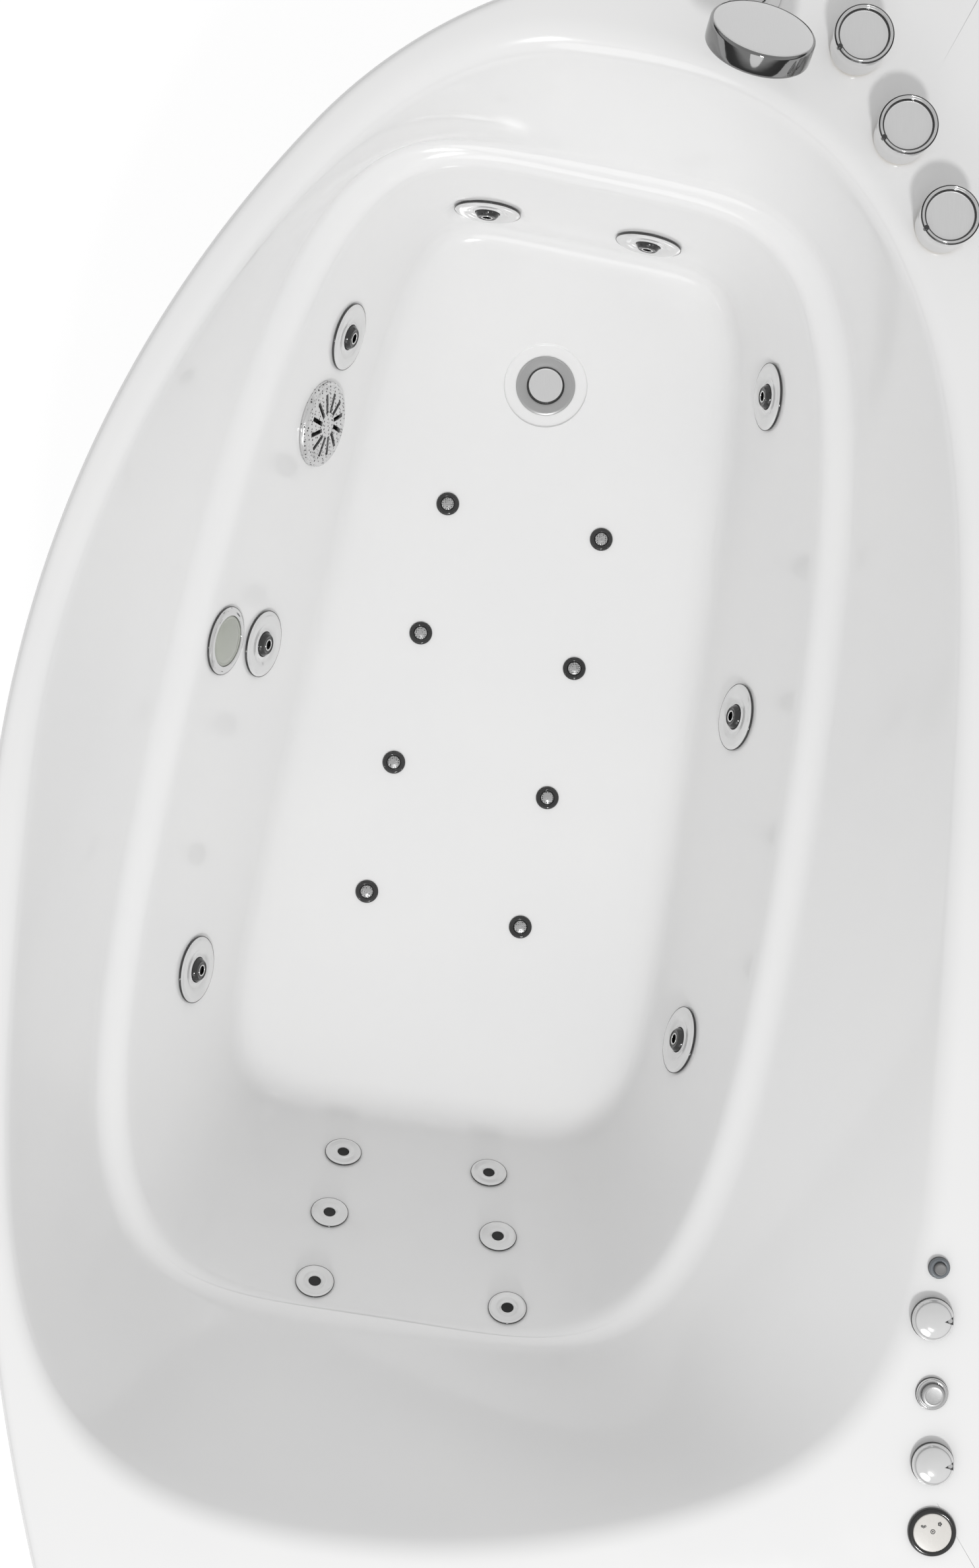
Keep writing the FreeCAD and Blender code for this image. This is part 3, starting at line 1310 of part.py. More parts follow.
def push_button(name, seat, diameter):
    """A button that slides in its bezel, with the air bellows' body under the rim."""
    outer, bore = diameter / 2, diameter / 2 - size.button_rim
    barrel = (diameter - size.button_step) / 2
    under = -(size.skin + size.flat_gap)
    bezel = turned(f"{name}_button_bezel", [
        (bore, size.button_height),
        (outer - size.button_rim / 2, size.button_height),
        (outer, size.button_height / 2),
        (outer, 0),
        (barrel, 0),
        (barrel, under),
        (barrel + size.jet_wall, under),
        (barrel + size.jet_wall, under - size.collar),
        (barrel, under - size.collar),
        (barrel, -size.button_depth),
        (0, -size.button_depth),
        (0, -size.button_depth + size.jet_wall),
        (bore, -size.button_depth + size.jet_wall),
    ])
    keep(placed(bezel, seat), f"{name}_button_bezel")
    floor = -size.button_depth + size.jet_wall + size.button_travel + size.flat_gap
    crown = size.button_height + size.button_travel + size.flat_gap
    button = turned(f"{name}_button", [
        (0, floor),
        (bore - size.turn_gap, floor),
        (bore - size.turn_gap, crown - size.button_crown),
        (bore * 0.7, crown),
        (0, crown),
    ])
    keep(placed(button, seat), f"{name}_button")


def air_regulators():
    """Domed knobs with a notch that let air into the jets, and their bodies."""
    outer, barrel = size.regulator_diameter / 2, size.regulator_barrel / 2
    spindle = size.spindle_diameter / 2
    under = -(size.skin + size.flat_gap)
    top = size.regulator_height
    body = turned("regulator_body", [
        (0, top * 0.6 - size.flat_gap),
        (spindle, top * 0.6 - size.flat_gap),
        (spindle, size.valve_flange),
        (outer, size.valve_flange),
        (outer, 0),
        (barrel, 0),
        (barrel, under),
        (barrel + size.jet_wall, under),
        (barrel + size.jet_wall, under - size.collar),
        (barrel, under - size.collar),
        (barrel, -size.regulator_depth),
        (0, -size.regulator_depth),
    ])
    doc.recompute()
    keep(copies("regulator_bodies", body, regulator_seats), "regulator_bodies")
    low = size.valve_flange + size.flat_gap
    for name, seat in zip(("first", "second"), regulator_seats):
        knob = turned(f"{name}_regulator_knob", [
            (spindle + size.turn_gap, low),
            (outer, low),
            (outer, top * 0.55),
            (outer * 0.8, top * 0.85),
            (outer * 0.45, top),
            (0, top * 1.04),
            (0, top * 0.6),
            (spindle + size.turn_gap, top * 0.6),
        ])
        notch = knob.newObject("Sketcher::SketchObject", "notch")
        notch.AttachmentSupport = (origin_plane(knob, "XY_Plane"), [""])
        notch.MapMode = "FlatFace"
        bind(notch, "AttachmentOffset.Base.z", top * 0.62)
        draw_outline(notch, [(outer * 0.45, outer * 0.01), (outer * 1.1, -outer * 0.3),
                             (outer * 1.1, outer * 0.3)])
        cut = knob.newObject("PartDesign::Pocket", "notch_cut")
        cut.Profile = notch
        cut.Reversed = True
        bind(cut, "Length", top)
        knob.Tip = cut
        keep(placed(knob, seat), f"{name}_regulator_knob")


def keypad():
    """Round keypad: ring, touch face, and the body under the rim."""
    outer, face = size.keypad_diameter / 2, size.keypad_diameter / 2 - size.keypad_rim
    barrel = size.keypad_barrel / 2
    under = -(size.skin + size.flat_gap)
    ring = turned("keypad_ring", [
        (0, size.keypad_height / 2),
        (face, size.keypad_height / 2),
        (face, size.keypad_height),
        (outer - size.keypad_rim / 3, size.keypad_height),
        (outer, size.keypad_height / 2),
        (outer, 0),
        (barrel, 0),
        (barrel, under),
        (barrel + size.jet_wall, under),
        (barrel + size.jet_wall, under - size.collar),
        (barrel, under - size.collar),
        (barrel, -size.keypad_depth),
        (0, -size.keypad_depth),
    ])
    keep(placed(ring, keypad_seat), "keypad_ring")
    disc = turned("keypad_face", [
        (0, size.keypad_height / 2),
        (face - size.turn_gap, size.keypad_height / 2),
        (face - size.turn_gap, size.keypad_height * 0.8),
        (0, size.keypad_height),
    ])
    keep(placed(disc, keypad_seat), "keypad_face")


# ---------------------------------------------------------------- frame and feet

def square_tube(length, corner, axis):
    """A length of square tube from its lowest corner along X, Y or Z."""
    sizes = {name: size.tube_size for name in "XYZ"}
    sizes[axis] = length
    cores = {name: size.tube_size - 2 * size.tube_wall for name in "XYZ"}
    cores[axis] = length
    shift = [0 if name == axis else size.tube_wall for name in "XYZ"]
    inner = [place + step if isinstance(step, Size) else place
             for place, step in zip(corner, shift)]
    outside = box(sizes["X"], sizes["Y"], sizes["Z"], corner)
    return carved("tube", outside, [box(cores["X"], cores["Y"], cores["Z"], inner)])


def gathered(label, pieces):
    """Separate solids kept as one sub-part."""
    doc.recompute()
    solids = [solid.copy() for piece in pieces for solid in piece.Shape.Solids]
    return keep(shaped(label, Part.makeCompound(solids)), label)


def rail_end():
    return size.bath_length / 2 - size.rail_end_set


def frame():
    """Long rails, cross rails on top of them, and uprights that carry the rim."""
    half, low = size.tube_size / 2, size.rail_level
    long_rails = [
        square_tube(rail_end() - size.front_rail_start,
                    (size.front_rail_start, size.front_rail_offset - half, low), "X"),
        square_tube(2 * rail_end(), (-rail_end(), size.wall_rail_offset - half, low), "X"),
    ]
    gathered("frame_long_rails", long_rails)

    level = low + size.tube_size
    end = size.wall_rail_offset + half
    places = [(size.foot_cross_place, size.foot_cross_start)]
    places += [(place, size.front_rail_offset - half) for place in (
        size.drain_cross_place, size.middle_cross_place, size.head_cross_place,
        size.pump_cross_place, size.end_cross_place)]
    cross_rails = [square_tube(end - start, (place - half, start, level), "Y")
                   for place, start in places]
    gathered("frame_cross_rails", cross_rails)

    height = size.rim_height - size.skin - size.bracket_thickness - level
    uprights = []
    for x, y in upright_places():
        post = square_tube(height, (x - half, y - half, level), "Z")
        plate = box(size.bracket_size, size.bracket_size, size.bracket_thickness,
                    (x - size.bracket_size / 2, y - size.bracket_size / 2, level + height))
        uprights.append(fused("upright", [post, plate]))
    gathered("frame_uprights", uprights)


def upright_places():
    half = size.tube_size / 2
    return [(-rail_end() + half, size.wall_rail_offset), (rail_end() - half, size.wall_rail_offset),
            (rail_end() - half, size.front_rail_offset)]


def levelling_feet():
    """Pads on the ground and threaded studs with nuts up to the rails."""
    rail, cross = size.rail_level, size.rail_level + size.tube_size
    pad = turned("pad", [
        (0, 0),
        (size.pad_diameter / 2, 0),
        (size.pad_diameter / 2, size.pad_height / 3),
        (size.stud_diameter, size.pad_height),
        (0, size.pad_height),
    ])
    places = [(x, size.wall_rail_offset, rail) for x in (
        -rail_end() + size.foot_set, size.middle_cross_place, rail_end() - size.foot_set)]
    places += [(x, size.front_rail_offset, rail) for x in (
        size.front_rail_start + size.foot_set, size.head_cross_place, rail_end() - size.foot_set)]
    places.append((size.foot_cross_place, size.foot_cross_start + size.foot_set, cross))
    doc.recompute()
    keep(copies("foot_pads", pad, [upright(x, y, 0) for x, y, _ in places]), "foot_pads")
    studs = []
    for x, y, top in places:
        foot = vector(x, y, size.pad_height)
        stud = cylinder(size.stud_diameter / 2, top - size.pad_height, foot, vector(0, 0, 1))
        for level in (foot.z, float(top - size.nut_height)):
            nut = Part.makePolygon(hexagon(vector(x, y, level), float(size.nut_size)))
            stud = stud.fuse(Part.Face(nut).extrude(vector(0, 0, size.nut_height)))
        studs.append(stud.removeSplitter())
    keep(shaped("foot_studs", Part.makeCompound(studs)), "foot_studs")


def hexagon(middle, across_flats):
    reach = across_flats / 2 / math.cos(math.radians(30))
    turns = [math.radians(60 * k) for k in range(7)]
    return [middle + vector(math.cos(turn), math.sin(turn)) * reach for turn in turns]


def base_board():
    """Board under the floor, bored for the waste and the floor jets."""
    floor = basin_rings()[0]
    slant_along = vector(math.cos(slant), -math.sin(slant))
    slant_across = vector(math.sin(slant), math.cos(slant))
    pulls = [(1, 1), (-1, 1), (-1, -1), (1, -1)]
    corners = [vector(*corner) + (slant_along * a + slant_across * b) * float(size.board_set)
               for corner, (a, b) in zip(floor.corners, pulls)]
    top = float(size.floor_level) - float(size.skin)
    board = Part.Face(Part.makePolygon(corners + corners[:1])).extrude(
        vector(0, 0, size.board_thickness))
    board.translate(vector(0, 0, top - float(size.board_thickness)))
    holes = [cylinder(size.floor_jet_barrel / 2 + size.board_room, size.floor_level,
                      vector(seat.Base.x, seat.Base.y, 0), vector(0, 0, 1))
             for seat in floor_jet_seats]
    holes.append(cylinder(size.drain_recess / 2 + size.skin + size.board_room, size.floor_level,
                          vector(size.drain_place, size.drain_offset, 0), vector(0, 0, 1)))
    keep(shaped("base_board", board.cut(Part.makeCompound(holes))), "base_board")


def apron():
    """Curved front panel, tucked behind the lip from the foot end round to the head end."""
    outset = float(size.skin) + float(size.flat_gap)
    bottom = float(size.apron_bottom)
    top = float(size.rim_height) - float(size.lip_depth) + float(size.apron_tuck)
    outside = rim_block(outset, bottom, top)
    inside = rim_block(outset + float(size.apron_thickness), bottom, top)
    band = outside.cut(inside)
    length, width = float(size.bath_length), float(size.bath_width)
    end = float(size.apron_end_set)
    wall_side = Part.makeBox(length, width, top, vector(-length / 2, width / 2 - end, 0))
    head_side = Part.makeBox(width, length, top, vector(length / 2 - end, -length / 2, 0))
    band = band.cut(Part.makeCompound([wall_side, head_side]))
    keep(shaped("front_apron", band.Solids[0]), "front_apron")


# ---------------------------------------------------------------- machinery

def pump():
    """Wet end with its suction socket and tee, the motor behind it, and their bracket."""
    axis = vector(size.pump_place, size.pump_start, size.pump_height)
    toward_front = FreeCAD.Rotation(vector(0, 0, 1), vector(0, -1, 0))
    toward_wall = FreeCAD.Rotation(vector(0, 0, 1), vector(0, 1, 0))
    volute, neck = size.volute_diameter / 2, size.pump_port / 2
    bore = size.suction_pipe / 2 - size.jet_wall
    wet = turned("wet_end", [
        (0, 0),
        (volute, 0),
        (volute, size.volute_length * 0.75),
        (neck + size.jet_wall, size.volute_length),
        (neck, size.volute_length),
        (neck, size.volute_length + size.jet_port),
        (bore, size.volute_length + size.jet_port),
        (bore, size.volute_length),
        (0, size.volute_length),
    ])
    doc.recompute()
    body = wet.Shape.Solids[0].copy()
    body.Placement = FreeCAD.Placement(axis, toward_front)
    tee = water_runs()[-1][0]
    pipe_radius, wall = float(size.water_pipe) / 2, float(size.jet_wall)
    port_end = tee - WALL * float(size.jet_port)
    riser = cylinder(pipe_radius, size.tee_height, vector(tee.x, tee.y, axis.z), vector(0, 0, 1))
    cross = cylinder(pipe_radius + wall / 2, 2 * float(size.jet_port), port_end, WALL)
    bores = [cylinder(pipe_radius - wall, 2 * float(size.jet_port), port_end, WALL),
             cylinder(pipe_radius - 2 * wall, size.tee_height - volute + wall,
                      vector(tee.x, tee.y, axis.z + float(volute - wall)), vector(0, 0, 1))]
    body = body.fuse([riser, cross]).cut(bores).removeSplitter()
    keep(shaped("pump_wet_end", body), "pump_wet_end")

    case = size.motor_diameter / 2
    motor = turned("pump_motor", [
        (0, 0),
        (case * 0.8, 0),
        (case * 0.8, size.motor_length * 0.08),
        (case, size.motor_length * 0.08),
        (case, size.motor_length * 0.78),
        (case * 0.92, size.motor_length * 0.82),
        (case * 0.88, size.motor_length),
        (0, size.motor_length),
    ])
    keep(placed(motor, FreeCAD.Placement(axis, toward_wall)), "pump_motor")

    top = size.rail_level + 2 * size.tube_size
    width = size.end_cross_place - size.pump_cross_place + size.tube_size
    length = size.motor_length * 0.6
    start = size.pump_start + size.motor_length * 0.12
    plate = box(width, length, size.bracket_thickness,
                (size.pump_cross_place - size.tube_size / 2, start, top))
    saddle = box(case * 1.2, length, size.pump_height - case * 0.75 - top,
                 (size.pump_place - case * 0.6, start, top))
    hollow_rod = rod(case, size.motor_length,
                     (size.pump_place, size.pump_start, size.pump_height),
                     FreeCAD.Rotation(vector(0, 0, 1), vector(0, 1, 0)))
    bracket = carved("pump_bracket", fused("bracket_blank", [plate, saddle]), [hollow_rod])
    keep(bracket, "pump_bracket")


def blower():
    """Air blower standing on the cross rails, with its outlet at the front."""
    case = size.blower_diameter / 2
    top = size.rail_level + 2 * size.tube_size
    can = turned("blower_can", [
        (0, 0),
        (case, 0),
        (case, size.blower_height * 0.45),
        (case * 0.8, size.blower_height * 0.55),
        (case * 0.8, size.blower_height * 0.9),
        (case * 0.6, size.blower_height),
        (0, size.blower_height),
    ])
    doc.recompute()
    body = can.Shape.Solids[0].copy()
    body.Placement = upright(size.blower_place, size.blower_offset, top)
    start = vector(size.blower_place, size.blower_offset, blower_outlet_level())
    outlet = cylinder(size.air_pipe / 2 + size.jet_wall / 2, case + size.outlet_stub, start, FOOT)
    keep(shaped("air_blower", body.fuse(outlet).removeSplitter()), "air_blower")


def blower_outlet_level():
    return size.rail_level + 2 * size.tube_size + size.blower_height * 0.25


def control_box():
    """Sealed box on the upright at the head end, with three cable glands below."""
    x, y = upright_places()[1]
    face = x - size.tube_size / 2
    side = y + size.tube_size / 2 - size.box_width
    case = box(size.box_depth, size.box_width, size.box_height,
               (face - size.box_depth, side, size.box_level))
    lid = box(size.box_lid, size.box_width - size.box_lid, size.box_height - size.box_lid,
              (face - size.box_depth - size.box_lid, side + size.box_lid / 2,
               size.box_level + size.box_lid / 2))
    glands = [rod(size.gland_diameter / 2, size.gland_length,
                  (face - size.box_depth / 2, side + size.box_width * share,
                   size.box_level - size.gland_length)) for share in (0.25, 0.5, 0.75)]
    keep(fused("control_box", [case, lid] + glands), "control_box")


def pipes():
    """Suction, water and air pipes; their ends stand against the sockets that take them."""
    bend = float(size.bend_radius)
    start = suction_middle() - vector(0, 0, size.jet_port)
    low = vector(start.x, start.y, size.suction_pipe_level)
    front = vector(size.suction_pipe_turn, size.suction_pipe_offset, size.suction_pipe_level)
    turn = vector(size.pump_place, size.suction_pipe_offset, size.pump_height)
    inlet = vector(size.pump_place,
                   size.pump_start - size.volute_length - size.jet_port, size.pump_height)
    wall, air_wall = float(size.water_wall), float(size.air_wall)
    tube = pipe([start, low, front, turn, inlet], float(size.suction_pipe) / 2,
                float(size.suction_bend), wall)
    keep(shaped("suction_pipe", tube), "suction_pipe")

    reach = float(size.jet_port)
    tubes = [pipe(shortened(run, reach), float(size.water_pipe) / 2, bend, wall)
             for run in water_runs()]
    keep(shaped("water_pipes", Part.makeCompound(tubes)), "water_pipes")

    radius, level = float(size.air_pipe) / 2, float(size.air_pipe_level)
    ends = [vector(seat.Base.x, seat.Base.y, level) for seat in floor_jet_seats]
    past = (ends[3] - ends[0]).normalize() * float(size.air_pipe_end)
    outlet = vector(size.blower_place - size.blower_diameter / 2 - size.outlet_stub,
                    size.blower_offset, blower_outlet_level())
    drop = vector(size.air_drop_place, size.blower_offset, outlet.z)
    under = vector(size.air_drop_place, size.blower_offset - size.air_drop_run, level)
    routes = [([ends[0] - past, ends[3] + past], radius),
              ([outlet, drop, under, ends[7] + past, ends[4] - past], radius),
              ([ends[2], ends[6]], radius * 0.8)]
    bars = [pipe(points, amount, bend) for points, amount in routes]
    bores = [pipe(points, amount - air_wall, bend) for points, amount in routes]
    keep(shaped("air_pipes", bars[0].fuse(bars[1:]).cut(bores).Solids[0]), "air_pipes")


# ---------------------------------------------------------------- the whole bath

tub_shell()
large_jets()
back_jets()
floor_jets()
suction()
lamp()
waste()
taps()
hand_shower()
push_button("lamp", lamp_button_seat, size.lamp_button_diameter)
push_button("pump", pump_button_seat, size.pump_button_diameter)
air_regulators()
keypad()
frame()
levelling_feet()
base_board()
apron()
pump()
blower()
control_box()
pipes()
doc.recompute()

faults = [item.Name for item in doc.Objects
          if "Invalid" in item.State or "Error" in item.State]
for piece in subparts:
    if piece.Shape.isNull() or not piece.Shape.isValid() or not piece.Shape.Solids:
        faults.append(piece.Label)
if faults:
    raise RuntimeError("these did not build: " + ", ".join(faults))

for piece in subparts:
    piece.Shape.exportStep(f"parts/{piece.Label}.step")
print(len(subparts), "sub-parts written")
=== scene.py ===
# %% [markdown]
# # A corner bath with jets
# The frame holds every solid of the bath at its real place, in metres. The wide head end is
# towards +X, the straight wall side towards +Y, and the ground is at zero. Each visible piece is
# modelled again here with finer shapes and real finishes, at the place that the frame gives.

# %% Load the frame
import math

import bpy
import bmesh
from mathutils import Matrix, Vector


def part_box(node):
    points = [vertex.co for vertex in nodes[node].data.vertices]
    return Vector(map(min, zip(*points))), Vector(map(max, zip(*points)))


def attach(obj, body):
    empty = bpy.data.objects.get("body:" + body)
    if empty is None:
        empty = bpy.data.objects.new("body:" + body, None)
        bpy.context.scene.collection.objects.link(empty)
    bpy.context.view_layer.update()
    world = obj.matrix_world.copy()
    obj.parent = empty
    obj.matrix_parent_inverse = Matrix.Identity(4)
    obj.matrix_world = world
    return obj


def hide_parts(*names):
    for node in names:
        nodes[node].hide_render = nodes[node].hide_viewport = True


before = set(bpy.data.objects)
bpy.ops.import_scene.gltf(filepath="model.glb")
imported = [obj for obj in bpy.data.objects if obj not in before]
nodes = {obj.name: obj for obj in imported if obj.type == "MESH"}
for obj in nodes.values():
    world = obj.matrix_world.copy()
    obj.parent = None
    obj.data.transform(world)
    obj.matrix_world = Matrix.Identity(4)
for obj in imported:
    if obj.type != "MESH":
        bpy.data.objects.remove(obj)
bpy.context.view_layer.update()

# %% [markdown]
# ## Finishes
# Shader maths reads best as sums, so a small class stands for the number or colour that leaves a
# node, and each sum on it adds its own Math node. A second class makes a material and its nodes.

# %% A number in a material
class Amount:
    """What leaves a shader node; sums on it add Math nodes."""

    def __init__(self, tree, socket):
        self.tree = tree
        self.socket = socket

    def combined(self, operation, first, second):
        node = self.tree.nodes.new("ShaderNodeMath")
        node.operation = operation
        for slot, item in zip(node.inputs, (first, second)):
            if isinstance(item, Amount):
                self.tree.links.new(item.socket, slot)
            else:
                slot.default_value = item
        return Amount(self.tree, node.outputs[0])

    def __add__(self, other):
        return self.combined("ADD", self, other)

    def __sub__(self, other):
        return self.combined("SUBTRACT", self, other)

    def __mul__(self, other):
        return self.combined("MULTIPLY", self, other)

    def __truediv__(self, other):
        return self.combined("DIVIDE", self, other)

    def __rsub__(self, other):
        return self.combined("SUBTRACT", other, self)

    __radd__ = __add__
    __rmul__ = __mul__


# %% A finish
class Finish:
    """A material on the standard surface shader."""

    def __init__(self, name, **constants):
        self.material = bpy.data.materials.new(name)
        self.material.use_nodes = True
        self.tree = self.material.node_tree
        self.shader = self.tree.nodes["Principled BSDF"]
        for socket, value in constants.items():
            self.shader.inputs[socket.replace("_", " ")].default_value = value

    def node(self, kind, settings=None, sockets=None, output=0):
        """Adds one node: its settings first, then the values or links of its sockets."""
        node = self.tree.nodes.new(kind)
        for setting, value in (settings or {}).items():
            setattr(node, setting, value)
        for socket, value in (sockets or {}).items():
            if isinstance(value, Amount):
                self.tree.links.new(value.socket, node.inputs[socket])
            else:
                node.inputs[socket].default_value = value
        return Amount(self.tree, node.outputs[output])

    def place(self):
        return self.node("ShaderNodeTexCoord", output=3)

    def noise(self, scale, detail=3.0, roughness=0.5, stretch=None):
        place = self.place()
        if stretch:
            place = self.node("ShaderNodeMapping", None, {"Vector": place, "Scale": stretch})
        return self.node("ShaderNodeTexNoise", None,
                         {"Vector": place, "Scale": scale, "Detail": detail, "Roughness": roughness})

    def spread(self, value, low, high):
        """Stretches a value that runs from about 0.3 to 0.7 to run from low to high."""
        return self.node("ShaderNodeMapRange", None,
                         {"Value": value, "From Min": 0.3, "From Max": 0.7, "To Min": low, "To Max": high})

    def mixed(self, factor, first, second):
        node = self.tree.nodes.new("ShaderNodeMix")
        node.data_type = "RGBA"
        for place, value in ((0, factor), (6, first), (7, second)):
            if isinstance(value, Amount):
                self.tree.links.new(value.socket, node.inputs[place])
            else:
                node.inputs[place].default_value = value
        return Amount(self.tree, node.outputs[2])

    def feed(self, socket, amount):
        self.tree.links.new(amount.socket, self.shader.inputs[socket])

    def bump(self, height, strength, distance):
        self.feed("Normal", self.node("ShaderNodeBump", None,
                                      {"Height": height, "Strength": strength, "Distance": distance}))


def tone(value, warm=0.0):
    """A grey, or one that leans a little towards cream."""
    return (value * (1 + warm), value, value * (1 - warm * 1.6), 1.0)


# %% [markdown]
# ## Acrylic
# The shell is white sheet acrylic, drawn over a mould by vacuum. It is glossy all over, with a
# very faint long ripple where the hot sheet stretched, and finer waves that only show in
# reflections. Both go into a bump, and a slow noise keeps its gloss from being perfectly even.

# %% White acrylic
def acrylic():
    finish = Finish("white_acrylic", Base_Color=tone(0.86), Roughness=0.12, IOR=1.49,
                    Coat_Weight=0.25, Coat_Roughness=0.04)
    finish.feed("Base Color", finish.mixed(finish.spread(finish.noise(5.0, 2.0), 0.0, 1.0),
                                           tone(0.855), tone(0.87, 0.002)))
    finish.feed("Roughness", finish.spread(finish.noise(18.0, 3.0), 0.10, 0.17))
    ripple = finish.noise(9.0, 2.0) * 1.0 + finish.noise(60.0, 2.0) * 0.12
    finish.bump(ripple, 0.10, 0.004)
    return finish.material


white_acrylic = acrylic()
print("finish:", white_acrylic.name)

# %% [markdown]
# ## Metal trim
# The visible fittings are plated plastic or brass. Plating is a mirror with faint smears. The
# flat faces of the knobs, the hand shower and the waste are brushed instead: the same metal,
# rougher, with a fine grain.

# %% Plated and brushed metal
def plated(name, value, low, high, metal=1.0):
    finish = Finish(name, Base_Color=tone(value), Metallic=metal, Roughness=low)
    finish.feed("Roughness", finish.spread(finish.noise(70.0, 4.0), low, high))
    finish.feed("Base Color", finish.mixed(finish.spread(finish.noise(25.0, 2.0), 0.0, 1.0),
                                           tone(value * 0.95), tone(value)))
    finish.bump(finish.noise(140.0, 2.0), 0.04, 0.0006)
    return finish.material


def brushed(name, value, grain=(1.0, 40.0, 1.0), metal=0.5):
    finish = Finish(name, Base_Color=tone(value), Metallic=metal, Roughness=0.35)
    lines = finish.noise(60.0, 4.0, stretch=grain)
    finish.feed("Roughness", finish.spread(lines, 0.28, 0.42))
    finish.feed("Base Color", finish.mixed(lines, tone(value * 0.93), tone(value * 1.03)))
    finish.bump(lines, 0.06, 0.0004)
    return finish.material


chrome = plated("chrome_plating", 0.76, 0.04, 0.09)
pale_chrome = plated("pale_chrome_plating", 0.80, 0.08, 0.14, 0.45)
# Dark plating: the knobs' pins, and thin rings round fittings that are painted shade and painted
# reflection.
dark_trim_and_painted_shade_chrome = plated("dark_trim_and_painted_shade_plating", 0.10, 0.06, 0.14)
# The shower head's plating is made dark: a painted reflection of the dim room in its edge band.
shower_painted_reflection_chrome = plated("shower_painted_reflection_plating", 0.26, 0.05, 0.10)
satin = brushed("satin_face", 0.72)
shower_satin = brushed("shower_satin", 0.86, metal=0.3)
waste_satin = brushed("waste_satin", 0.46, (20.0, 20.0, 1.0), 0.6)
print("seven metal finishes")

# %% [markdown]
# ## Plastics, rubber and paint
# Moulded plastic has a fine spark-eroded grain, pipes are smoother, rubber is dull, and paint
# has an orange peel. One function makes them all, from a grain size and a range of gloss.

# %% Moulded finishes
def moulded(name, colour, low, high, grain, depth, metal=0.0, coat=0.0):
    finish = Finish(name, Base_Color=colour, Metallic=metal, Roughness=low, Coat_Weight=coat)
    worn = finish.spread(finish.noise(12.0, 5.0, 0.6), 0.0, 1.0)
    dusty = tuple(c * 0.88 + 0.04 for c in colour[:3]) + (1.0,)
    finish.feed("Base Color", finish.mixed(worn * 0.5, colour, dusty))
    finish.feed("Roughness", finish.spread(finish.noise(grain / 4, 3.0), low, high))
    finish.bump(finish.noise(grain, 3.0, 0.6), 0.25, depth)
    return finish.material


white_plastic = moulded("white_plastic", tone(0.76, 0.01), 0.25, 0.38, 900.0, 0.0002)
warm_plastic = moulded("touch_plastic", tone(0.70, 0.03), 0.22, 0.32, 900.0, 0.0001)
black_gloss = moulded("black_gloss", tone(0.012), 0.08, 0.16, 500.0, 0.0001, coat=0.3)
black_plastic = moulded("black_plastic", tone(0.022), 0.35, 0.5, 900.0, 0.0003)
grey_plastic = moulded("grey_plastic", tone(0.20), 0.4, 0.55, 900.0, 0.0003)
slate_plastic = moulded("slate_plastic", (0.17, 0.185, 0.20, 1.0), 0.3, 0.42, 900.0, 0.0002)
rubber = moulded("rubber", tone(0.03), 0.6, 0.8, 600.0, 0.0004)
motor_paint = moulded("motor_paint", (0.03, 0.075, 0.16, 1.0), 0.3, 0.45, 350.0, 0.0004)
frame_paint = moulded("frame_paint", (0.34, 0.36, 0.37, 1.0), 0.32, 0.48, 400.0, 0.0004, metal=0.2)
zinc = moulded("zinc_plating", (0.55, 0.55, 0.50, 1.0), 0.3, 0.5, 300.0, 0.0002, metal=1.0)
brass = moulded("brass", (0.60, 0.42, 0.16, 1.0), 0.25, 0.4, 300.0, 0.0002, metal=1.0)
# Near-black, put in bores, behind slots and in gaps: painted shade.
painted_shade_black = moulded("painted_bore_shade", tone(0.004), 0.5, 0.7, 300.0, 0.0002)
print("twelve moulded finishes")

# %% [markdown]
# ## Base board and laminate
# The board under the floor is chipboard: flat chips of several browns, pressed together. Voronoi
# cells give the chips, and their colours are mixed with two browns by a noise. The lens of the lamp
# is frosted on its back, so it only lets some of the light through.

# %% Chipboard and lens
def chipboard():
    finish = Finish("chipboard", Base_Color=(0.42, 0.29, 0.16, 1.0), Roughness=0.75)
    warp = finish.noise(30.0, 3.0)
    chips = finish.node("ShaderNodeTexVoronoi", {"feature": "F1"},
                        {"Vector": finish.place(), "Scale": 160.0}, output=1)
    pale = finish.mixed(warp, (0.50, 0.36, 0.21, 1.0), (0.34, 0.22, 0.12, 1.0))
    blend = finish.mixed(0.22, pale, chips)
    finish.feed("Base Color", finish.mixed(0.35, blend, (0.42, 0.30, 0.17, 1.0)))
    finish.feed("Roughness", finish.spread(finish.noise(200.0), 0.65, 0.85))
    finish.bump(finish.noise(220.0, 3.0), 0.3, 0.0006)
    return finish.material


board = chipboard()


def lens():
    finish = Finish("frosted_lens", Base_Color=(0.62, 0.64, 0.58, 1.0), Roughness=0.16,
                    Transmission_Weight=0.35, IOR=1.5)
    finish.feed("Roughness", finish.spread(finish.noise(160.0), 0.12, 0.24))
    finish.bump(finish.noise(220.0, 2.0), 0.05, 0.0004)
    return finish.material


frosted_lens = lens()
print("finishes:", board.name, frosted_lens.name)

# %% [markdown]
# ## Hands for modelling
# These helpers do what one does with the mouse: drop the selection, add a ring, draw it out to
# the next ring, and join the last one up. Most fittings are round, so most pieces are drawn out
# ring by ring along a profile, which is how a turner sees them.

# %% Starting and finishing a piece
MM = 0.001


def drop_selection():
    if bpy.context.object and bpy.context.object.mode != "OBJECT":
        bpy.ops.object.mode_set(mode="OBJECT")
    bpy.ops.object.select_all(action="DESELECT")


def pick(piece):
    """Makes one piece the only one selected, and the active one."""
    drop_selection()
    piece.select_set(True)
    bpy.context.view_layer.objects.active = piece


def settle(piece, seat):
    """Moves the finished mesh to its seat and leaves the object itself at the origin."""
    pick(piece)
    piece.matrix_world = seat
    bpy.ops.object.transform_apply(location=True, rotation=True, scale=True)
    return piece


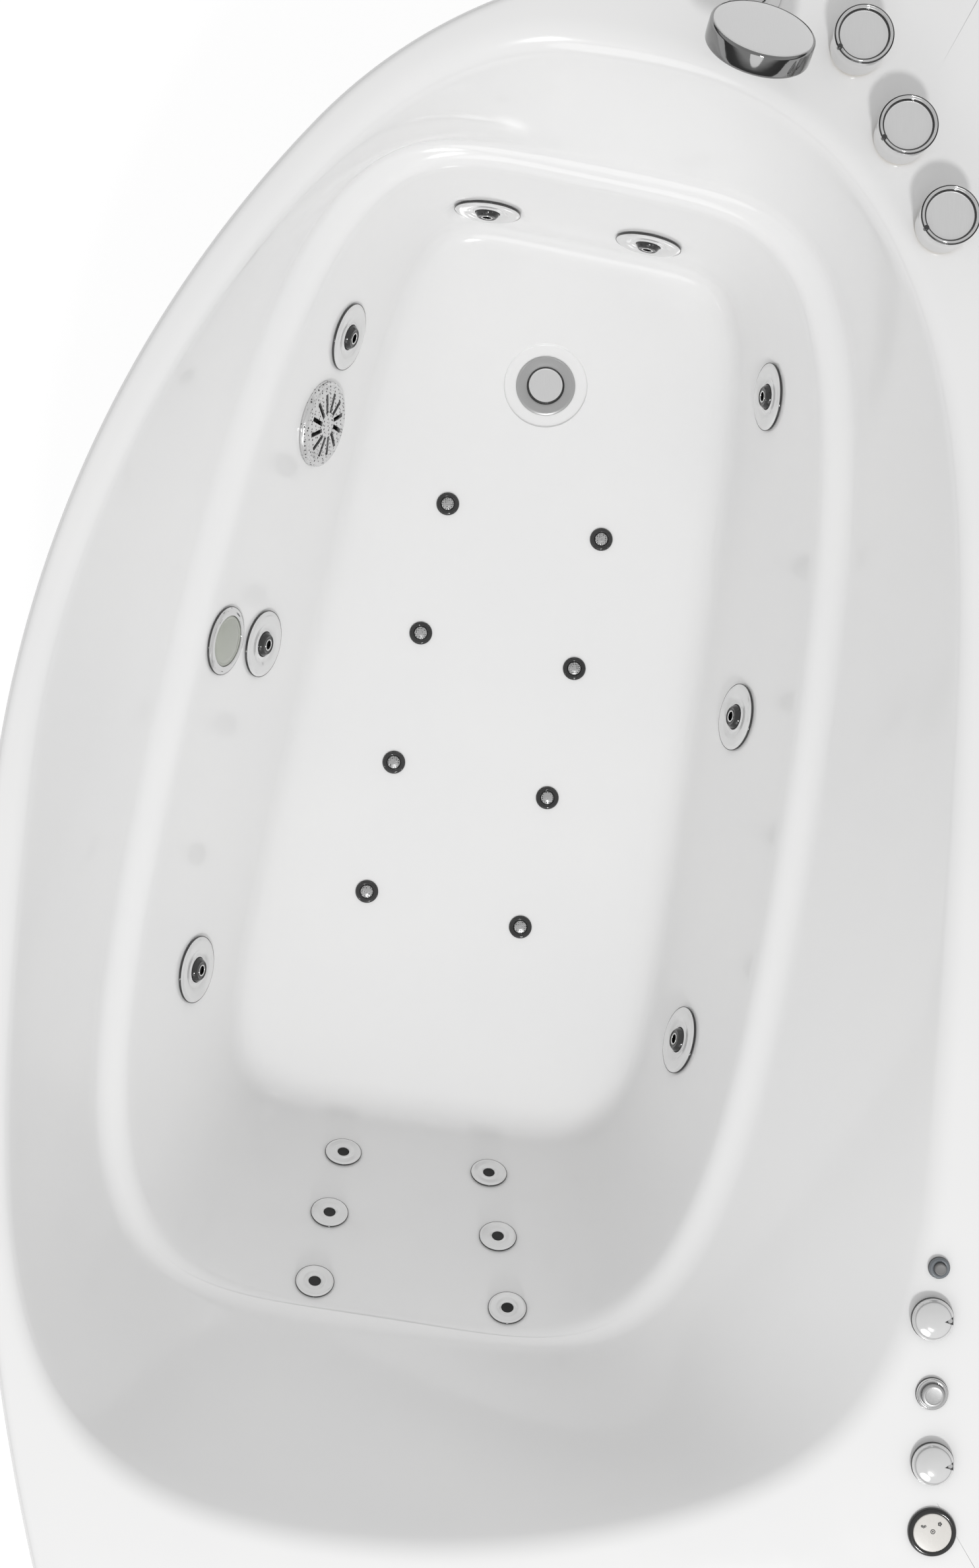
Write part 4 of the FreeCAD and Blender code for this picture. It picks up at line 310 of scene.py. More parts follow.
def tidy_mesh(piece, smooth=35.0, merge=2e-6):
    """Closes seams, points faces outwards and shades by angle."""
    pick(piece)
    bpy.ops.object.mode_set(mode="EDIT")
    bpy.ops.mesh.select_all(action="SELECT")
    bpy.ops.mesh.remove_doubles(threshold=merge)
    bpy.ops.mesh.normals_make_consistent(inside=False)
    bpy.ops.object.mode_set(mode="OBJECT")
    bpy.ops.object.shade_smooth_by_angle(angle=math.radians(smooth))
    return piece


def dress(piece, finish, body, slot, *stands_for):
    """Finish, body and the node that the piece stands for; the slot is not used."""
    piece.data.materials.clear()
    piece.data.materials.append(finish)
    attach(piece, body)
    if stands_for:
        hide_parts(*stands_for)
    return piece


# %% Rounded profiles
def rounded(corners, steps=4):
    """Rounds a profile: each corner is (radius, height, rounding)."""
    points = []
    count = len(corners)
    for k, (x, z, r) in enumerate(corners):
        here = Vector((x, z))
        if r == 0 or k in (0, count - 1):
            points.append(here)
            continue
        back = Vector(corners[k - 1][:2]) - here
        onward = Vector(corners[k + 1][:2]) - here
        reach = min(r, back.length * 0.49, onward.length * 0.49)
        start, end = here + back.normalized() * reach, here + onward.normalized() * reach
        for j in range(steps + 1):
            t = j / steps
            points.append(start * (1 - t) ** 2 + here * 2 * t * (1 - t) + end * t * t)
    return [(p.x, p.y) for p in points]


POLE = 1e-3


def turned(name, corners, segments=72, steps=4, smooth=35.0):
    """A round piece drawn out from ring to ring along a profile in millimetres."""
    profile = rounded(corners, steps)
    closed = corners[0][:2] == corners[-1][:2]
    radius, level = profile[0]
    start = max(radius, POLE)
    drop_selection()
    bpy.ops.mesh.primitive_circle_add(vertices=segments, radius=start * MM,
                                      location=(0, 0, level * MM))
    piece = bpy.context.object
    piece.name = name
    bpy.ops.object.transform_apply(location=True, rotation=False, scale=False)
    bpy.ops.object.mode_set(mode="EDIT")
    bpy.ops.mesh.select_all(action="SELECT")
    if radius <= POLE:
        bpy.ops.mesh.merge(type="CENTER")
    for next_radius, next_level in profile[1:]:
        if radius <= POLE:
            # a pole opens into a ring of its own
            bpy.ops.object.mode_set(mode="OBJECT")
            mesh = bmesh.new()
            mesh.from_mesh(piece.data)
            pole = [v for v in mesh.verts if v.co.to_2d().length < 1e-7][0]
            ring = bmesh.ops.create_circle(mesh, segments=segments, radius=next_radius * MM,
                                           matrix=Matrix.Translation((0, 0, next_level * MM)))["verts"]
            for k in range(segments):
                mesh.faces.new((pole, ring[k], ring[(k + 1) % segments]))
            for v in mesh.verts:
                v.select_set(v in ring)
            mesh.select_flush(True)
            mesh.to_mesh(piece.data)
            mesh.free()
            bpy.ops.object.mode_set(mode="EDIT")
            bpy.ops.mesh.select_mode(type="VERT")
        else:
            bpy.ops.mesh.extrude_edges_move(
                TRANSFORM_OT_translate={"value": (0, 0, (next_level - level) * MM)})
            if next_radius <= POLE:
                bpy.ops.mesh.merge(type="CENTER")
            else:
                share = next_radius / radius
                bpy.ops.transform.resize(value=(share, share, 1),
                                         center_override=(0, 0, next_level * MM))
        radius, level = next_radius, next_level
    if not closed and radius > POLE and profile[0][0] > POLE:
        bpy.ops.mesh.edge_face_add()
    bpy.ops.object.mode_set(mode="OBJECT")
    return tidy_mesh(piece, smooth)


def joined(pieces, name):
    """Several meshes as one piece."""
    drop_selection()
    for piece in pieces:
        piece.select_set(True)
    bpy.context.view_layer.objects.active = pieces[0]
    if len(pieces) > 1:
        bpy.ops.object.join()
    pieces[0].name = name
    return pieces[0]


def copied(piece, name):
    twin = piece.copy()
    twin.data = piece.data.copy()
    twin.name = name
    bpy.context.scene.collection.objects.link(twin)
    return twin


def placed(blank, name, seat, finish, body, slot, *stands_for):
    """A dressed copy of a blank on a seat."""
    return dress(settle(copied(blank, name), seat), finish, body, slot, *stands_for)


def fitting(name, corners, segments, seat, finish, body, slot, *stands_for):
    """A turned piece, put on its seat and dressed."""
    return dress(settle(turned(name, corners, segments), seat), finish, body, slot, *stands_for)


def cleared(*blanks):
    """Takes away the blanks that were only there to be copied."""
    for blank in blanks:
        bpy.data.objects.remove(blank)


# %% [markdown]
# ## Where the fittings sit
# The frame knows where each fitting is. A ring in the frame is a flat disc of points, so its
# thinnest direction is the way it faces. The seat has Z out of the wall and X level, and its
# origin is on the back face of the ring.

# %% Seats from the frame
import numpy as np


def seat_of(triangles, toward):
    """Seat of a round flat fitting from its triangles: the back face, with Z towards the room."""
    cloud = triangles.reshape(-1, 3)
    middle = (cloud.max(axis=0) + cloud.min(axis=0)) / 2
    corners = triangles - middle
    sums = corners.sum(axis=1)
    areas = np.linalg.norm(np.cross(corners[:, 1] - corners[:, 0], corners[:, 2] - corners[:, 0]),
                           axis=1)
    spread = (np.einsum("t,tki,tkj->ij", areas, corners, corners)
              + np.einsum("t,ti,tj->ij", areas, sums, sums))
    out = Vector(np.linalg.eigh(spread)[1][:, 0])
    if out.dot(Vector(toward) - Vector(middle)) < 0:
        out = -out
    heights = (cloud - middle) @ np.array(out)
    level_line = Vector((0, 0, 1)).cross(out)
    across = level_line.normalized() if level_line.length > 1e-3 else Vector((1, 0, 0))
    up = out.cross(across)
    seat = Matrix((across, up, out)).transposed().to_4x4()
    seat.translation = Vector(middle) + out * float(heights.min())
    return seat


def triangles_of(node):
    mesh = nodes[node].data
    mesh.calc_loop_triangles()
    return np.array([[tuple(mesh.vertices[k].co) for k in t.vertices] for t in mesh.loop_triangles])


def clusters(node, reach):
    """The triangles of a node in groups that lie within reach of each other."""
    groups = []
    for triangle in triangles_of(node):
        near = [g for g in groups if np.linalg.norm(g[0][0] - triangle[0]) < reach]
        if near:
            near[0].append(triangle)
        else:
            groups.append([triangle])
    return [np.array(group) for group in groups]


MIDDLE = (0.0, 0.0, 0.35)
ring_seats = [seat_of(g, MIDDLE) for g in clusters("jet_rings", 0.085)]
back_seats = [seat_of(g, MIDDLE) for g in clusters("back_jet_covers", 0.045)]
print(len(ring_seats), "large jets,", len(back_seats), "back jets")
print("lean of the large jets:", [round(math.degrees(math.asin(s.col[2].z)), 1) for s in ring_seats])


def top_seat(node, level=None):
    """Seat of an upright fitting: the middle of its plan and its lowest or a given height."""
    low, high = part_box(node)
    height = low[2] if level is None else level
    return Matrix.Translation(((low[0] + high[0]) / 2, (low[1] + high[1]) / 2, height))


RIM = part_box("tub_shell")[1][2]

# %% [markdown]
# ## The basin
# The shell is one drawn sheet, so it is made here as one sheet: a grid whose columns run from the
# middle of the floor up the wall, over the ledge and the rim and down the lip. Its rings are
# squared circles over four corners, the same ones that the solid model was lofted from. A grid
# primitive is added and each of its points is moved to its place, because no stack of hand
# moves would give the changing fullness of the walls. Afterwards the sheet gets its thickness.

# %% The outlines of the basin, in millimetres
LENGTH, WIDTH = 1600.0, 1000.0
SLANT = math.radians(11.8)
FRONT_ARCS = [(500.0, 45.6), (1143.0, 38.3), (2260.0, None)]
CORNER_ROLL = 15.0
ARC_STEPS, CORNER_STEPS = 90, 12
FLOOR = [(-669, -81), (353, -324), (421, 164), (-587, 307)]
MOUTH = [(-689, -324), (639, -473), (620, 420), (-612, 472)]
MOUTH_CROWNS = (49, 113, 11, 67)
MOUTH_POWERS = (1.92, 6.2, 6.8, 3.4)


def ring_point(corners, crowns, powers, angle):
    """A point of a squared circle stretched over four corners."""
    cosine, sine = math.cos(angle), math.sin(angle)
    quarter = (0 if cosine < 0 else 1) if sine < 0 else (2 if cosine >= 0 else 3)
    power = powers[quarter]
    reach = (abs(cosine) ** power + abs(sine) ** power) ** (-1 / power)
    u, v = cosine * reach, sine * reach
    weights = [(1 - u) * (1 - v), (1 + u) * (1 - v), (1 + u) * (1 + v), (1 - u) * (1 + v)]
    x = sum(w * c[0] for w, c in zip(weights, corners)) / 4
    y = sum(w * c[1] for w, c in zip(weights, corners)) / 4
    front, head, wall, foot = crowns
    x += (1 - v * v) * ((1 + u) * head - (1 - u) * foot) / 2
    y += (1 - u * u) * ((1 + v) * wall - (1 - v) * front) / 2
    return Vector((x, y))


def pushed(corners, side, back, foot):
    """The corners moved out along and across the basin's slanting axis."""
    along = Vector((math.cos(SLANT), -math.sin(SLANT)))
    across = Vector((math.sin(SLANT), math.cos(SLANT)))
    moves = [(-foot, -side), (back, -side), (back, side), (-foot, side)]
    return [tuple(Vector(c) + along * a + across * b) for c, (a, b) in zip(corners, moves)]


LEDGE = pushed(FLOOR, 64, 168, 5)
RINGS = {
    "floor": (150.0, FLOOR, (0, 0, 0, 0), (7,) * 4),
    "waist": (275.0, pushed(FLOOR, 30, 78, 2.5), (24, 8, 24, 0), (6,) * 4),
    "ledge": (395.0, LEDGE, (36, 12, 36, 0), (5,) * 4),
    "ledge_edge": (404.0, pushed(LEDGE, 26, 10.8, 20.8), (38, 12.67, 38, 0), (5,) * 4),
    "mouth": (RIM / MM, MOUTH, MOUTH_CROWNS, MOUTH_POWERS),
}


def on_ring(name, angle):
    level, corners, crowns, powers = RINGS[name]
    p = ring_point(corners, crowns, powers, angle)
    return Vector((p.x, p.y, level))


# %% The outline of the rim
def rim_line():
    """The plan of the rim as a dense closed line, counted from the foot end over the front."""
    radii = [radius for radius, _ in FRONT_ARCS]
    turns = [0.0, math.radians(FRONT_ARCS[0][1])]
    turns.append(turns[1] + math.radians(FRONT_ARCS[1][1]))
    steps = [(radii[k + 1] - radii[k], turns[k + 1]) for k in range(2)]
    centre_y = radii[2] - WIDTH / 2 - sum(step * math.sin(turn) for step, turn in steps)
    centres = [Vector((radii[0] - LENGTH / 2, centre_y))]
    for step, turn in steps:
        centres.append(centres[-1] + Vector((step * math.cos(turn), step * math.sin(turn))))
    turns.append(math.pi - math.acos((LENGTH / 2 - centres[2].x) / radii[2]))
    line = []
    for k in range(3):
        for j in range(ARC_STEPS):
            turn = turns[k] + (turns[k + 1] - turns[k]) * j / ARC_STEPS
            line.append(centres[k] - Vector((math.cos(turn), math.sin(turn))) * radii[k])
    end = centres[2] - Vector((math.cos(turns[3]), math.sin(turns[3]))) * radii[2]
    previous = line[-1]
    front_points = 0
    for corner, onward in ((end, Vector((LENGTH / 2, WIDTH / 2))),
                           (Vector((LENGTH / 2, WIDTH / 2)), Vector((-LENGTH / 2, WIDTH / 2))),
                           (Vector((-LENGTH / 2, WIDTH / 2)), line[0])):
        back, ahead = (previous - corner).normalized(), (onward - corner).normalized()
        half = math.acos(max(-1, min(1, back.dot(ahead)))) / 2
        reach = CORNER_ROLL / math.tan(half)
        middle = corner + (back + ahead).normalized() * CORNER_ROLL / math.sin(half)
        start = corner + back * reach
        finish = corner + ahead * reach
        line = [p for p in line if (p - corner).length > reach]
        front_points = front_points or len(line)
        first = math.atan2(start.y - middle.y, start.x - middle.x)
        last = math.atan2(finish.y - middle.y, finish.x - middle.x)
        if last < first:
            last += 2 * math.pi
        for j in range(CORNER_STEPS + 1):
            turn = first + (last - first) * j / CORNER_STEPS
            line.append(middle + Vector((math.cos(turn), math.sin(turn))) * CORNER_ROLL)
        previous = corner
    return line, front_points


RIM_LINE, FRONT_POINTS = rim_line()


def rim_hit(direction):
    """Where a ray from the middle of the bath leaves the rim, and the way out there."""
    ray = Vector((math.cos(direction), math.sin(direction)))
    best = None
    for a, b in zip(RIM_LINE, RIM_LINE[1:] + RIM_LINE[:1]):
        side_a, side_b = ray.cross(a), ray.cross(b)
        if side_a * side_b <= 0 and side_a != side_b:
            share = side_a / (side_a - side_b)
            point = a.lerp(b, share)
            if point.dot(ray) > 0 and (best is None or point.length > best[0].length):
                run = (b - a).normalized()
                best = (point, Vector((run.y, -run.x)))
    return best


# %% Columns of the sheet
SAMPLES = 2400
EVEN_LENGTH, TURN_SHARE = 4000, 0.35


def column_angles(count):
    """Directions from the middle of the bath: even ones, and more at the tight corners."""
    samples = [2 * math.pi * k / SAMPLES for k in range(SAMPLES + 1)]
    points = {name: [on_ring(name, a).xy for a in samples] for name in ("floor", "ledge", "mouth")}
    weight = [0.0]
    for k in range(1, len(samples)):
        step = 0.0
        for name, line in points.items():
            run = line[k] - line[k - 1]
            before = line[k - 1] - line[k - 2 if k > 1 else -2]
            turn = abs(run.angle(before)) if run.length > 1e-9 and before.length > 1e-9 else 0.0
            step += run.length / EVEN_LENGTH + turn / (2 * math.pi) * TURN_SHARE
        weight.append(weight[-1] + step)
    total = weight[-1]
    angles, k = [], 0
    for j in range(count):
        goal = total * j / count
        while weight[k + 1] < goal:
            k += 1
        share = (goal - weight[k]) / max(weight[k + 1] - weight[k], 1e-12)
        angles.append(samples[k] + (samples[k + 1] - samples[k]) * share)
    return angles


FINE_TURN = 0.0042


def corner_columns(angles):
    """Adds columns whose rays meet the rounded corners of the rim."""
    table = [(math.atan2(on_ring("mouth", a).y, on_ring("mouth", a).x) % (2 * math.pi), a)
             for a in [2 * math.pi * k / 3600 for k in range(3600)]]
    table.sort()
    extra = []
    for corner in (Vector((LENGTH / 2, WIDTH / 2)), Vector((-LENGTH / 2, WIDTH / 2)),
                   RIM_LINE[FRONT_POINTS + CORNER_STEPS // 2]):
        middle = math.atan2(corner.y, corner.x)
        for j in range(-5, 6):
            goal = (middle + j * FINE_TURN) % (2 * math.pi)
            near = min(table, key=lambda pair: abs(pair[0] - goal))
            extra.append(near[1])
    return sorted(set(round(a, 6) for a in angles + extra))


ANGLES = corner_columns(column_angles(500))
print(len(ANGLES), "columns")


# %% One column of the sheet, from the middle of the floor to the lip
def outward(name, angle, step=2e-3):
    """The level direction out of a ring."""
    run = (on_ring(name, angle + step) - on_ring(name, angle - step)).normalized()
    return Vector((run.y, -run.x, 0.0))


def bend(corner, before, after, reach, steps):
    """Turns from one direction to another round a corner."""
    start, end = corner - before * reach, corner + after * reach
    turn = [k / steps for k in range(steps + 1)]
    return [start * (1 - t) ** 2 + corner * 2 * t * (1 - t) + end * t * t for t in turn]


def through(a, b, c, t):
    """The parabola that meets three rings, at 0, a half and 1."""
    return a * (2 * t - 1) * (t - 1) + b * 4 * t * (1 - t) + c * t * (2 * t - 1)


def run_between(a, b, c, low, high, count):
    """Points on that parabola between two heights."""
    def share_at(height):
        first, last = 0.0, 1.0
        for _ in range(30):
            middle = (first + last) / 2
            first, last = (middle, last) if through(a, b, c, middle).z < height else (first, middle)
        return first
    start, end = share_at(low), share_at(high)
    shares = [start + (end - start) * (k + 1) / (count + 1) for k in range(count)]
    return [through(a, b, c, t) for t in shares]


FLOOR_ROUND, LEDGE_ROUND = 29.0, 13.0
SHOULDER_SHARE, SHOULDER_LEVEL = 0.48, 492.0
MOUTH_ROLL, EXTRA_FOOT_ROLL = 15.0, 13.0
LIP_ROLL, LIP_DEPTH, SKIN = 11.0, 38.0, 6.0
MID_FLOOR = Vector((sum(c[0] for c in FLOOR) / 4, sum(c[1] for c in FLOOR) / 4, 150.0))


def sheet_column(angle):
    floor, waist, ledge, edge, mouth = (on_ring(name, angle) for name in RINGS)
    shoulder = edge.lerp(mouth, SHOULDER_SHARE)
    shoulder.z = SHOULDER_LEVEL
    out = outward("floor", angle)
    inner = floor - out * FLOOR_ROUND
    points = [MID_FLOOR.lerp(inner, 0.9)]
    rise = (through(floor, waist, ledge, 0.06) - floor).normalized()
    points += bend(floor, out, rise, FLOOR_ROUND, 9)
    lean = (ledge - through(floor, waist, ledge, 0.98)).normalized()
    points += run_between(floor, waist, ledge, points[-1].z, ledge.z - LEDGE_ROUND * lean.z, 15)
    step = (edge - ledge).normalized()
    points += bend(ledge, lean, step, LEDGE_ROUND, 5)
    climb = (through(edge, shoulder, mouth, 0.02) - edge).normalized()
    points += bend(edge, step, climb, LEDGE_ROUND, 5)
    last = (mouth - through(edge, shoulder, mouth, 0.98)).normalized()
    roll = MOUTH_ROLL + EXTRA_FOOT_ROLL * max(0.0, -math.cos(angle)) ** 3
    points += run_between(edge, shoulder, mouth, points[-1].z, mouth.z - roll * last.z, 12)
    points += bend(mouth, last, outward("mouth", angle), roll, 9)
    brink, away = rim_hit(math.atan2(mouth.y, mouth.x))
    away = Vector((away.x, away.y, 0))
    brink = Vector((brink.x, brink.y, RIM / MM))
    lip_start = brink - away * LIP_ROLL
    points.append(points[-1].lerp(lip_start, 0.5))
    for k in range(8):
        turn = math.pi / 2 * k / 7
        points.append(lip_start + away * LIP_ROLL * math.sin(turn)
                      - Vector((0, 0, LIP_ROLL * (1 - math.cos(turn)))))
    points.append(brink - Vector((0, 0, LIP_DEPTH * 0.6)))
    points.append(brink - Vector((0, 0, LIP_DEPTH)))
    return points


columns = [sheet_column(angle) for angle in ANGLES]
ROWS = len(columns[0])
print(ROWS, "rows in each of", len(columns), "columns")

# %% [markdown]
# The wall under each large jet is pressed flat, as it is on the mould, so that its round ring
# sits tight on a curved wall. Points near the jet slide onto its plane, and the flat fades out
# beyond the ring.

# %% Flats for the large jets
NEAR_PLANE = 0.03


def flattened(point, seats, full, fade):
    """Moves a point onto the plane of a jet that it is near."""
    for seat in seats:
        local = seat.inverted() @ point
        away = local.to_2d().length
        if away < fade and abs(local.z) < NEAR_PLANE:
            share = 1.0 if away < full else (fade - away) / (fade - full)
            share = share * share * (3 - 2 * share)
            return seat @ Vector((local.x, local.y, local.z * (1 - share)))
    return point


# the back face of a wall fitting stands this far off the wall
lowered = Matrix.Translation((0, 0, -0.9 * MM))
jet_planes = [seat @ lowered for seat in ring_seats]
FLAT_REACH, FLAT_FADE = 0.038, 0.050

# %% The sheet itself
drop_selection()
bpy.ops.mesh.primitive_grid_add(x_subdivisions=len(columns), y_subdivisions=ROWS - 1, size=1)
shell = bpy.context.object
shell.name = "drawn_shell"
for vertex in shell.data.vertices:
    across = round((vertex.co.x + 0.5) * len(columns))
    along = round((vertex.co.y + 0.5) * (ROWS - 1))
    place = columns[across % len(columns)][along] * MM
    vertex.co = flattened(place, jet_planes, FLAT_REACH, FLAT_FADE)
tidy_mesh(shell, 40.0, 1e-6)
print("sheet:", len(shell.data.vertices), "points")

# %% [markdown]
# The sheet is drilled for the large jets, the suction and the lamp. The small jets and the fittings
# in the rim stand on closed skin. Each hole starts as the faces whose points are within its radius,
# and the ragged edge that they leave is then drawn onto the round line.

# %% Drill the shell
def near_axis(mesh, seat, radius, depth):
    back = seat.inverted()
    found = []
    for vertex in mesh.verts:
        local = back @ vertex.co
        if abs(local.z) < depth and local.to_2d().length < radius:
            found.append(vertex)
    return found


def drilled(piece, seat, radius, depth=0.02):
    """Opens a round hole whose edge lies on the wall."""
    mesh = bmesh.new()
    mesh.from_mesh(piece.data)
    inside = near_axis(mesh, seat, radius, depth)
    bmesh.ops.delete(mesh, geom=inside, context="VERTS")
    back = seat.inverted()
    for edge in [e for e in mesh.edges if e.is_boundary]:
        for vertex in edge.verts:
            local = back @ vertex.co
            away = local.to_2d().length
            if abs(local.z) < depth and away < radius * 1.9:
                flat = local.to_2d().normalized() * radius
                vertex.co = seat @ Vector((flat.x, flat.y, local.z))
    mesh.to_mesh(piece.data)
    mesh.free()


JET_BORE, SUCTION_BORE, LAMP_BORE = 0.0205, 0.0275, 0.0225
suction_seat = seat_of(triangles_of("suction_cover"), MIDDLE) @ lowered
lamp_seat = seat_of(triangles_of("lamp_bezel"), MIDDLE) @ lowered
for plane in jet_planes:
    drilled(shell, plane, JET_BORE)
drilled(shell, suction_seat, SUCTION_BORE)
drilled(shell, lamp_seat, LAMP_BORE)
print("drilled for", len(jet_planes), "jets, the suction and the lamp")

# %% [markdown]
# The sheet still lacks its flat floor. Round the waste the floor is sunk by three millimetres, so
# that the flange does not stand proud. The recess is drawn from a circle, down and in, as a
# moulder's plug would press it, and the flat floor is filled in between it and the wall.

# %% The floor with the recess of the waste
WASTE = Vector((-0.468, 0.066, 0.150))


def recess(piece):
    drop_selection()
    radius, level = 54.0, 0.0
    bpy.ops.mesh.primitive_circle_add(vertices=96, radius=radius * MM, location=WASTE)
    ring = bpy.context.object
    bpy.ops.object.transform_apply(location=True)
    bpy.ops.object.mode_set(mode="EDIT")
    bpy.ops.mesh.select_all(action="SELECT")
    profile = rounded([(50.5, 0, 0), (49.0, 0, 1.2), (48.6, -3, 1.5), (46, -3, 0)])
    for next_radius, next_level in profile + [(34.0, -3.0), (22.0, -3.0)]:
        bpy.ops.mesh.extrude_region_move(
            TRANSFORM_OT_translate={"value": (0, 0, (next_level - level) * MM)})
        share = next_radius / radius
        bpy.ops.transform.resize(value=(share, share, 1),
                                 center_override=WASTE + Vector((0, 0, next_level * MM)))
        radius, level = next_radius, next_level
    bpy.ops.object.mode_set(mode="OBJECT")
    whole = joined([piece, ring], piece.name)
    mesh = bmesh.new()
    mesh.from_mesh(whole.data)
    open_edges = [e for e in mesh.edges if e.is_boundary
                  and all(abs(v.co.z - WASTE.z) < 1e-6 for v in e.verts)]
    bmesh.ops.triangle_fill(mesh, edges=open_edges, use_beauty=True, normal=(0, 0, 1))
    mesh.to_mesh(whole.data)
    mesh.free()
    return whole


shell = recess(shell)
tidy_mesh(shell, 40.0, 1e-6)
print("floor filled, recess 98 mm wide and 3 mm deep")

# %% [markdown]
# The sheet gets its six millimetres on the hidden side, with a solidify modifier.

# %% Thickness of the shell
def thickened(piece, thickness):
    pick(piece)
    wall = piece.modifiers.new("wall", "SOLIDIFY")
    wall.thickness = thickness
    wall.offset = -1.0
    bpy.ops.object.modifier_apply(modifier="wall")
    bpy.ops.object.shade_smooth_by_angle(angle=math.radians(40))
    return piece


up = sum(1 if face.normal.z > 0 else -1 for face in shell.data.polygons)
if up < 0:
    shell.data.flip_normals()
thickened(shell, SKIN * MM)
dress(shell, white_acrylic, "bath", "acrylic", "tub_shell")
print("shell:", len(shell.data.polygons), "faces")

# %% [markdown]
# ## The front panel
# The panel is a bent acrylic sheet that is tucked behind the lip and follows the curved front. Its
# line is the line of the rim, drawn in by the skin. A grid gives one column for each point.

# %% Front panel
def front_line(inset):
    """The rim's line drawn in, from the foot end round the front to the head end."""
    line = RIM_LINE[:FRONT_POINTS + 1]
    moved = []
    for k, point in enumerate(line):
        run = (line[min(k + 1, FRONT_POINTS)] - line[max(k - 1, 0)]).normalized()
        moved.append(point + Vector((-run.y, run.x)) * inset)
    return moved


PANEL_INSET, PANEL_SKIN = 6.3, 4.0
low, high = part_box("front_apron")
line = [p for p in front_line(PANEL_INSET) if p.x < high[0] / MM]
line = [Vector((line[0].x, high[1] / MM))] + line + [Vector((high[0] / MM, line[-1].y))]
LEVELS = [low[2], low[2] + 0.02, 0.15, 0.3, 0.45, high[2]]
drop_selection()
bpy.ops.mesh.primitive_grid_add(x_subdivisions=len(line) - 1, y_subdivisions=len(LEVELS) - 1, size=1)
panel = bpy.context.object
panel.name = "front_panel"
for vertex in panel.data.vertices:
    point = line[round((vertex.co.x + 0.5) * (len(line) - 1))]
    level = LEVELS[round((vertex.co.y + 0.5) * (len(LEVELS) - 1))]
    vertex.co = (point.x * MM, point.y * MM, level)
drop_selection()
middle_face = panel.data.polygons[len(panel.data.polygons) // 2]
if middle_face.normal.y > 0:
    panel.data.flip_normals()
thickened(panel, PANEL_SKIN * MM)
edge_bevel = panel.modifiers.new("edges", "BEVEL")
edge_bevel.width = 0.0012
edge_bevel.segments = 2
edge_bevel.limit_method = "ANGLE"
edge_bevel.angle_limit = math.radians(60)
bpy.ops.object.modifier_apply(modifier="edges")
bpy.ops.object.shade_smooth_by_angle(angle=math.radians(35))
dress(panel, white_acrylic, "bath", "acrylic", "front_apron")
print("panel:", len(panel.data.polygons), "faces")

# %% [markdown]
# ## Large jets
# Each jet is a dished chrome ring, screwed into its body through the wall, with a black eyeball
# nozzle that swivels in it. The ring is turned once and copied to its eight seats, each with a thin
# dark edge that is a painted reflection of the dim room, which plating on a white wall shows there.
# The nozzle has a chrome lip round its outlet and a near-black disc in its bore as painted shade, and
# rides on its own joint.

# %% Rings of the large jets
ring_master = turned("jet_ring_blank", [
    (14.4, 0.9, 0), (37.4, 0.9, 0.2), (37.5, 3.2, 1.2), (33.2, 5.3, 1.6), (24.5, 4.7, 2.5),
    (20.5, 2.9, 1.0), (17.5, 2.7, 0.8), (15.6, 4.0, 0.8), (14.4, 3.8, 0.4), (14.4, 0.9, 0)], 96)
edge_master = turned("jet_edge_blank", [
    (36.9, 1.0, 0), (37.7, 1.0, 0), (37.95, 1.8, 0.4), (37.9, 3.2, 0.4), (37.3, 3.4, 0.2),
    (36.9, 3.0, 0), (36.9, 1.0, 0)], 96)
for k, seat in enumerate(jet_planes):
    placed(ring_master, f"jet_ring_{k + 1}", seat, pale_chrome, "bath", "chrome", "jet_rings")
    # painted reflection: a thin dark ring over the ring's outer bevel
    placed(edge_master, f"jet_edge_{k + 1}", seat, dark_trim_and_painted_shade_chrome, "bath", "chrome")
cleared(ring_master, edge_master)
print(len(jet_planes), "rings")

# %% Nozzles
NOZZLES = [name for name in nodes if name.startswith("jet_nozzle_")]
ball = turned("nozzle_blank", [
    (5.0, -5.5, 0), (11.0, -5.5, 0.4), (13.2, -2.0, 2.5), (14.0, 2.4, 3.5), (13.0, 6.2, 2.5),
    (10.2, 9.2, 1.2), (8.6, 8.2, 0.6), (6.4, 8.6, 0.6), (5.0, 6.0, 0.8), (5.0, -5.5, 0)], 64)
eye = turned("nozzle_eye", [
    (5.05, 4.0, 0), (6.6, 4.0, 0), (6.6, 9.0, 0.3), (5.8, 9.4, 0.3), (5.05, 8.8, 0.2), (5.05, 4.0, 0)], 48)
bore_shade_disc = turned("nozzle_throat", [(0, -5.0, 0), (5.0, -5.0, 0), (5.0, -4.4, 0), (0, -4.4, 0)], 32)
for name in NOZZLES:
    low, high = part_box(name)
    middle = Vector([(a + b) / 2 for a, b in zip(low, high)])
    seat = min(ring_seats, key=lambda s: (s.translation - middle).length) @ lowered
    placed(ball, name.replace("jet_", "eyeball_"), seat, black_gloss, name, "chrome", name)
    placed(eye, name.replace("jet_nozzle", "eyeball_lip"), seat, chrome, name, "chrome")
    # painted shade: a near-black disc in the nozzle's bore
    placed(bore_shade_disc, name.replace("jet_nozzle", "eyeball_throat"), seat, painted_shade_black, name, "chrome")
cleared(ball, eye, bore_shade_disc)
print(len(NOZZLES), "nozzles")
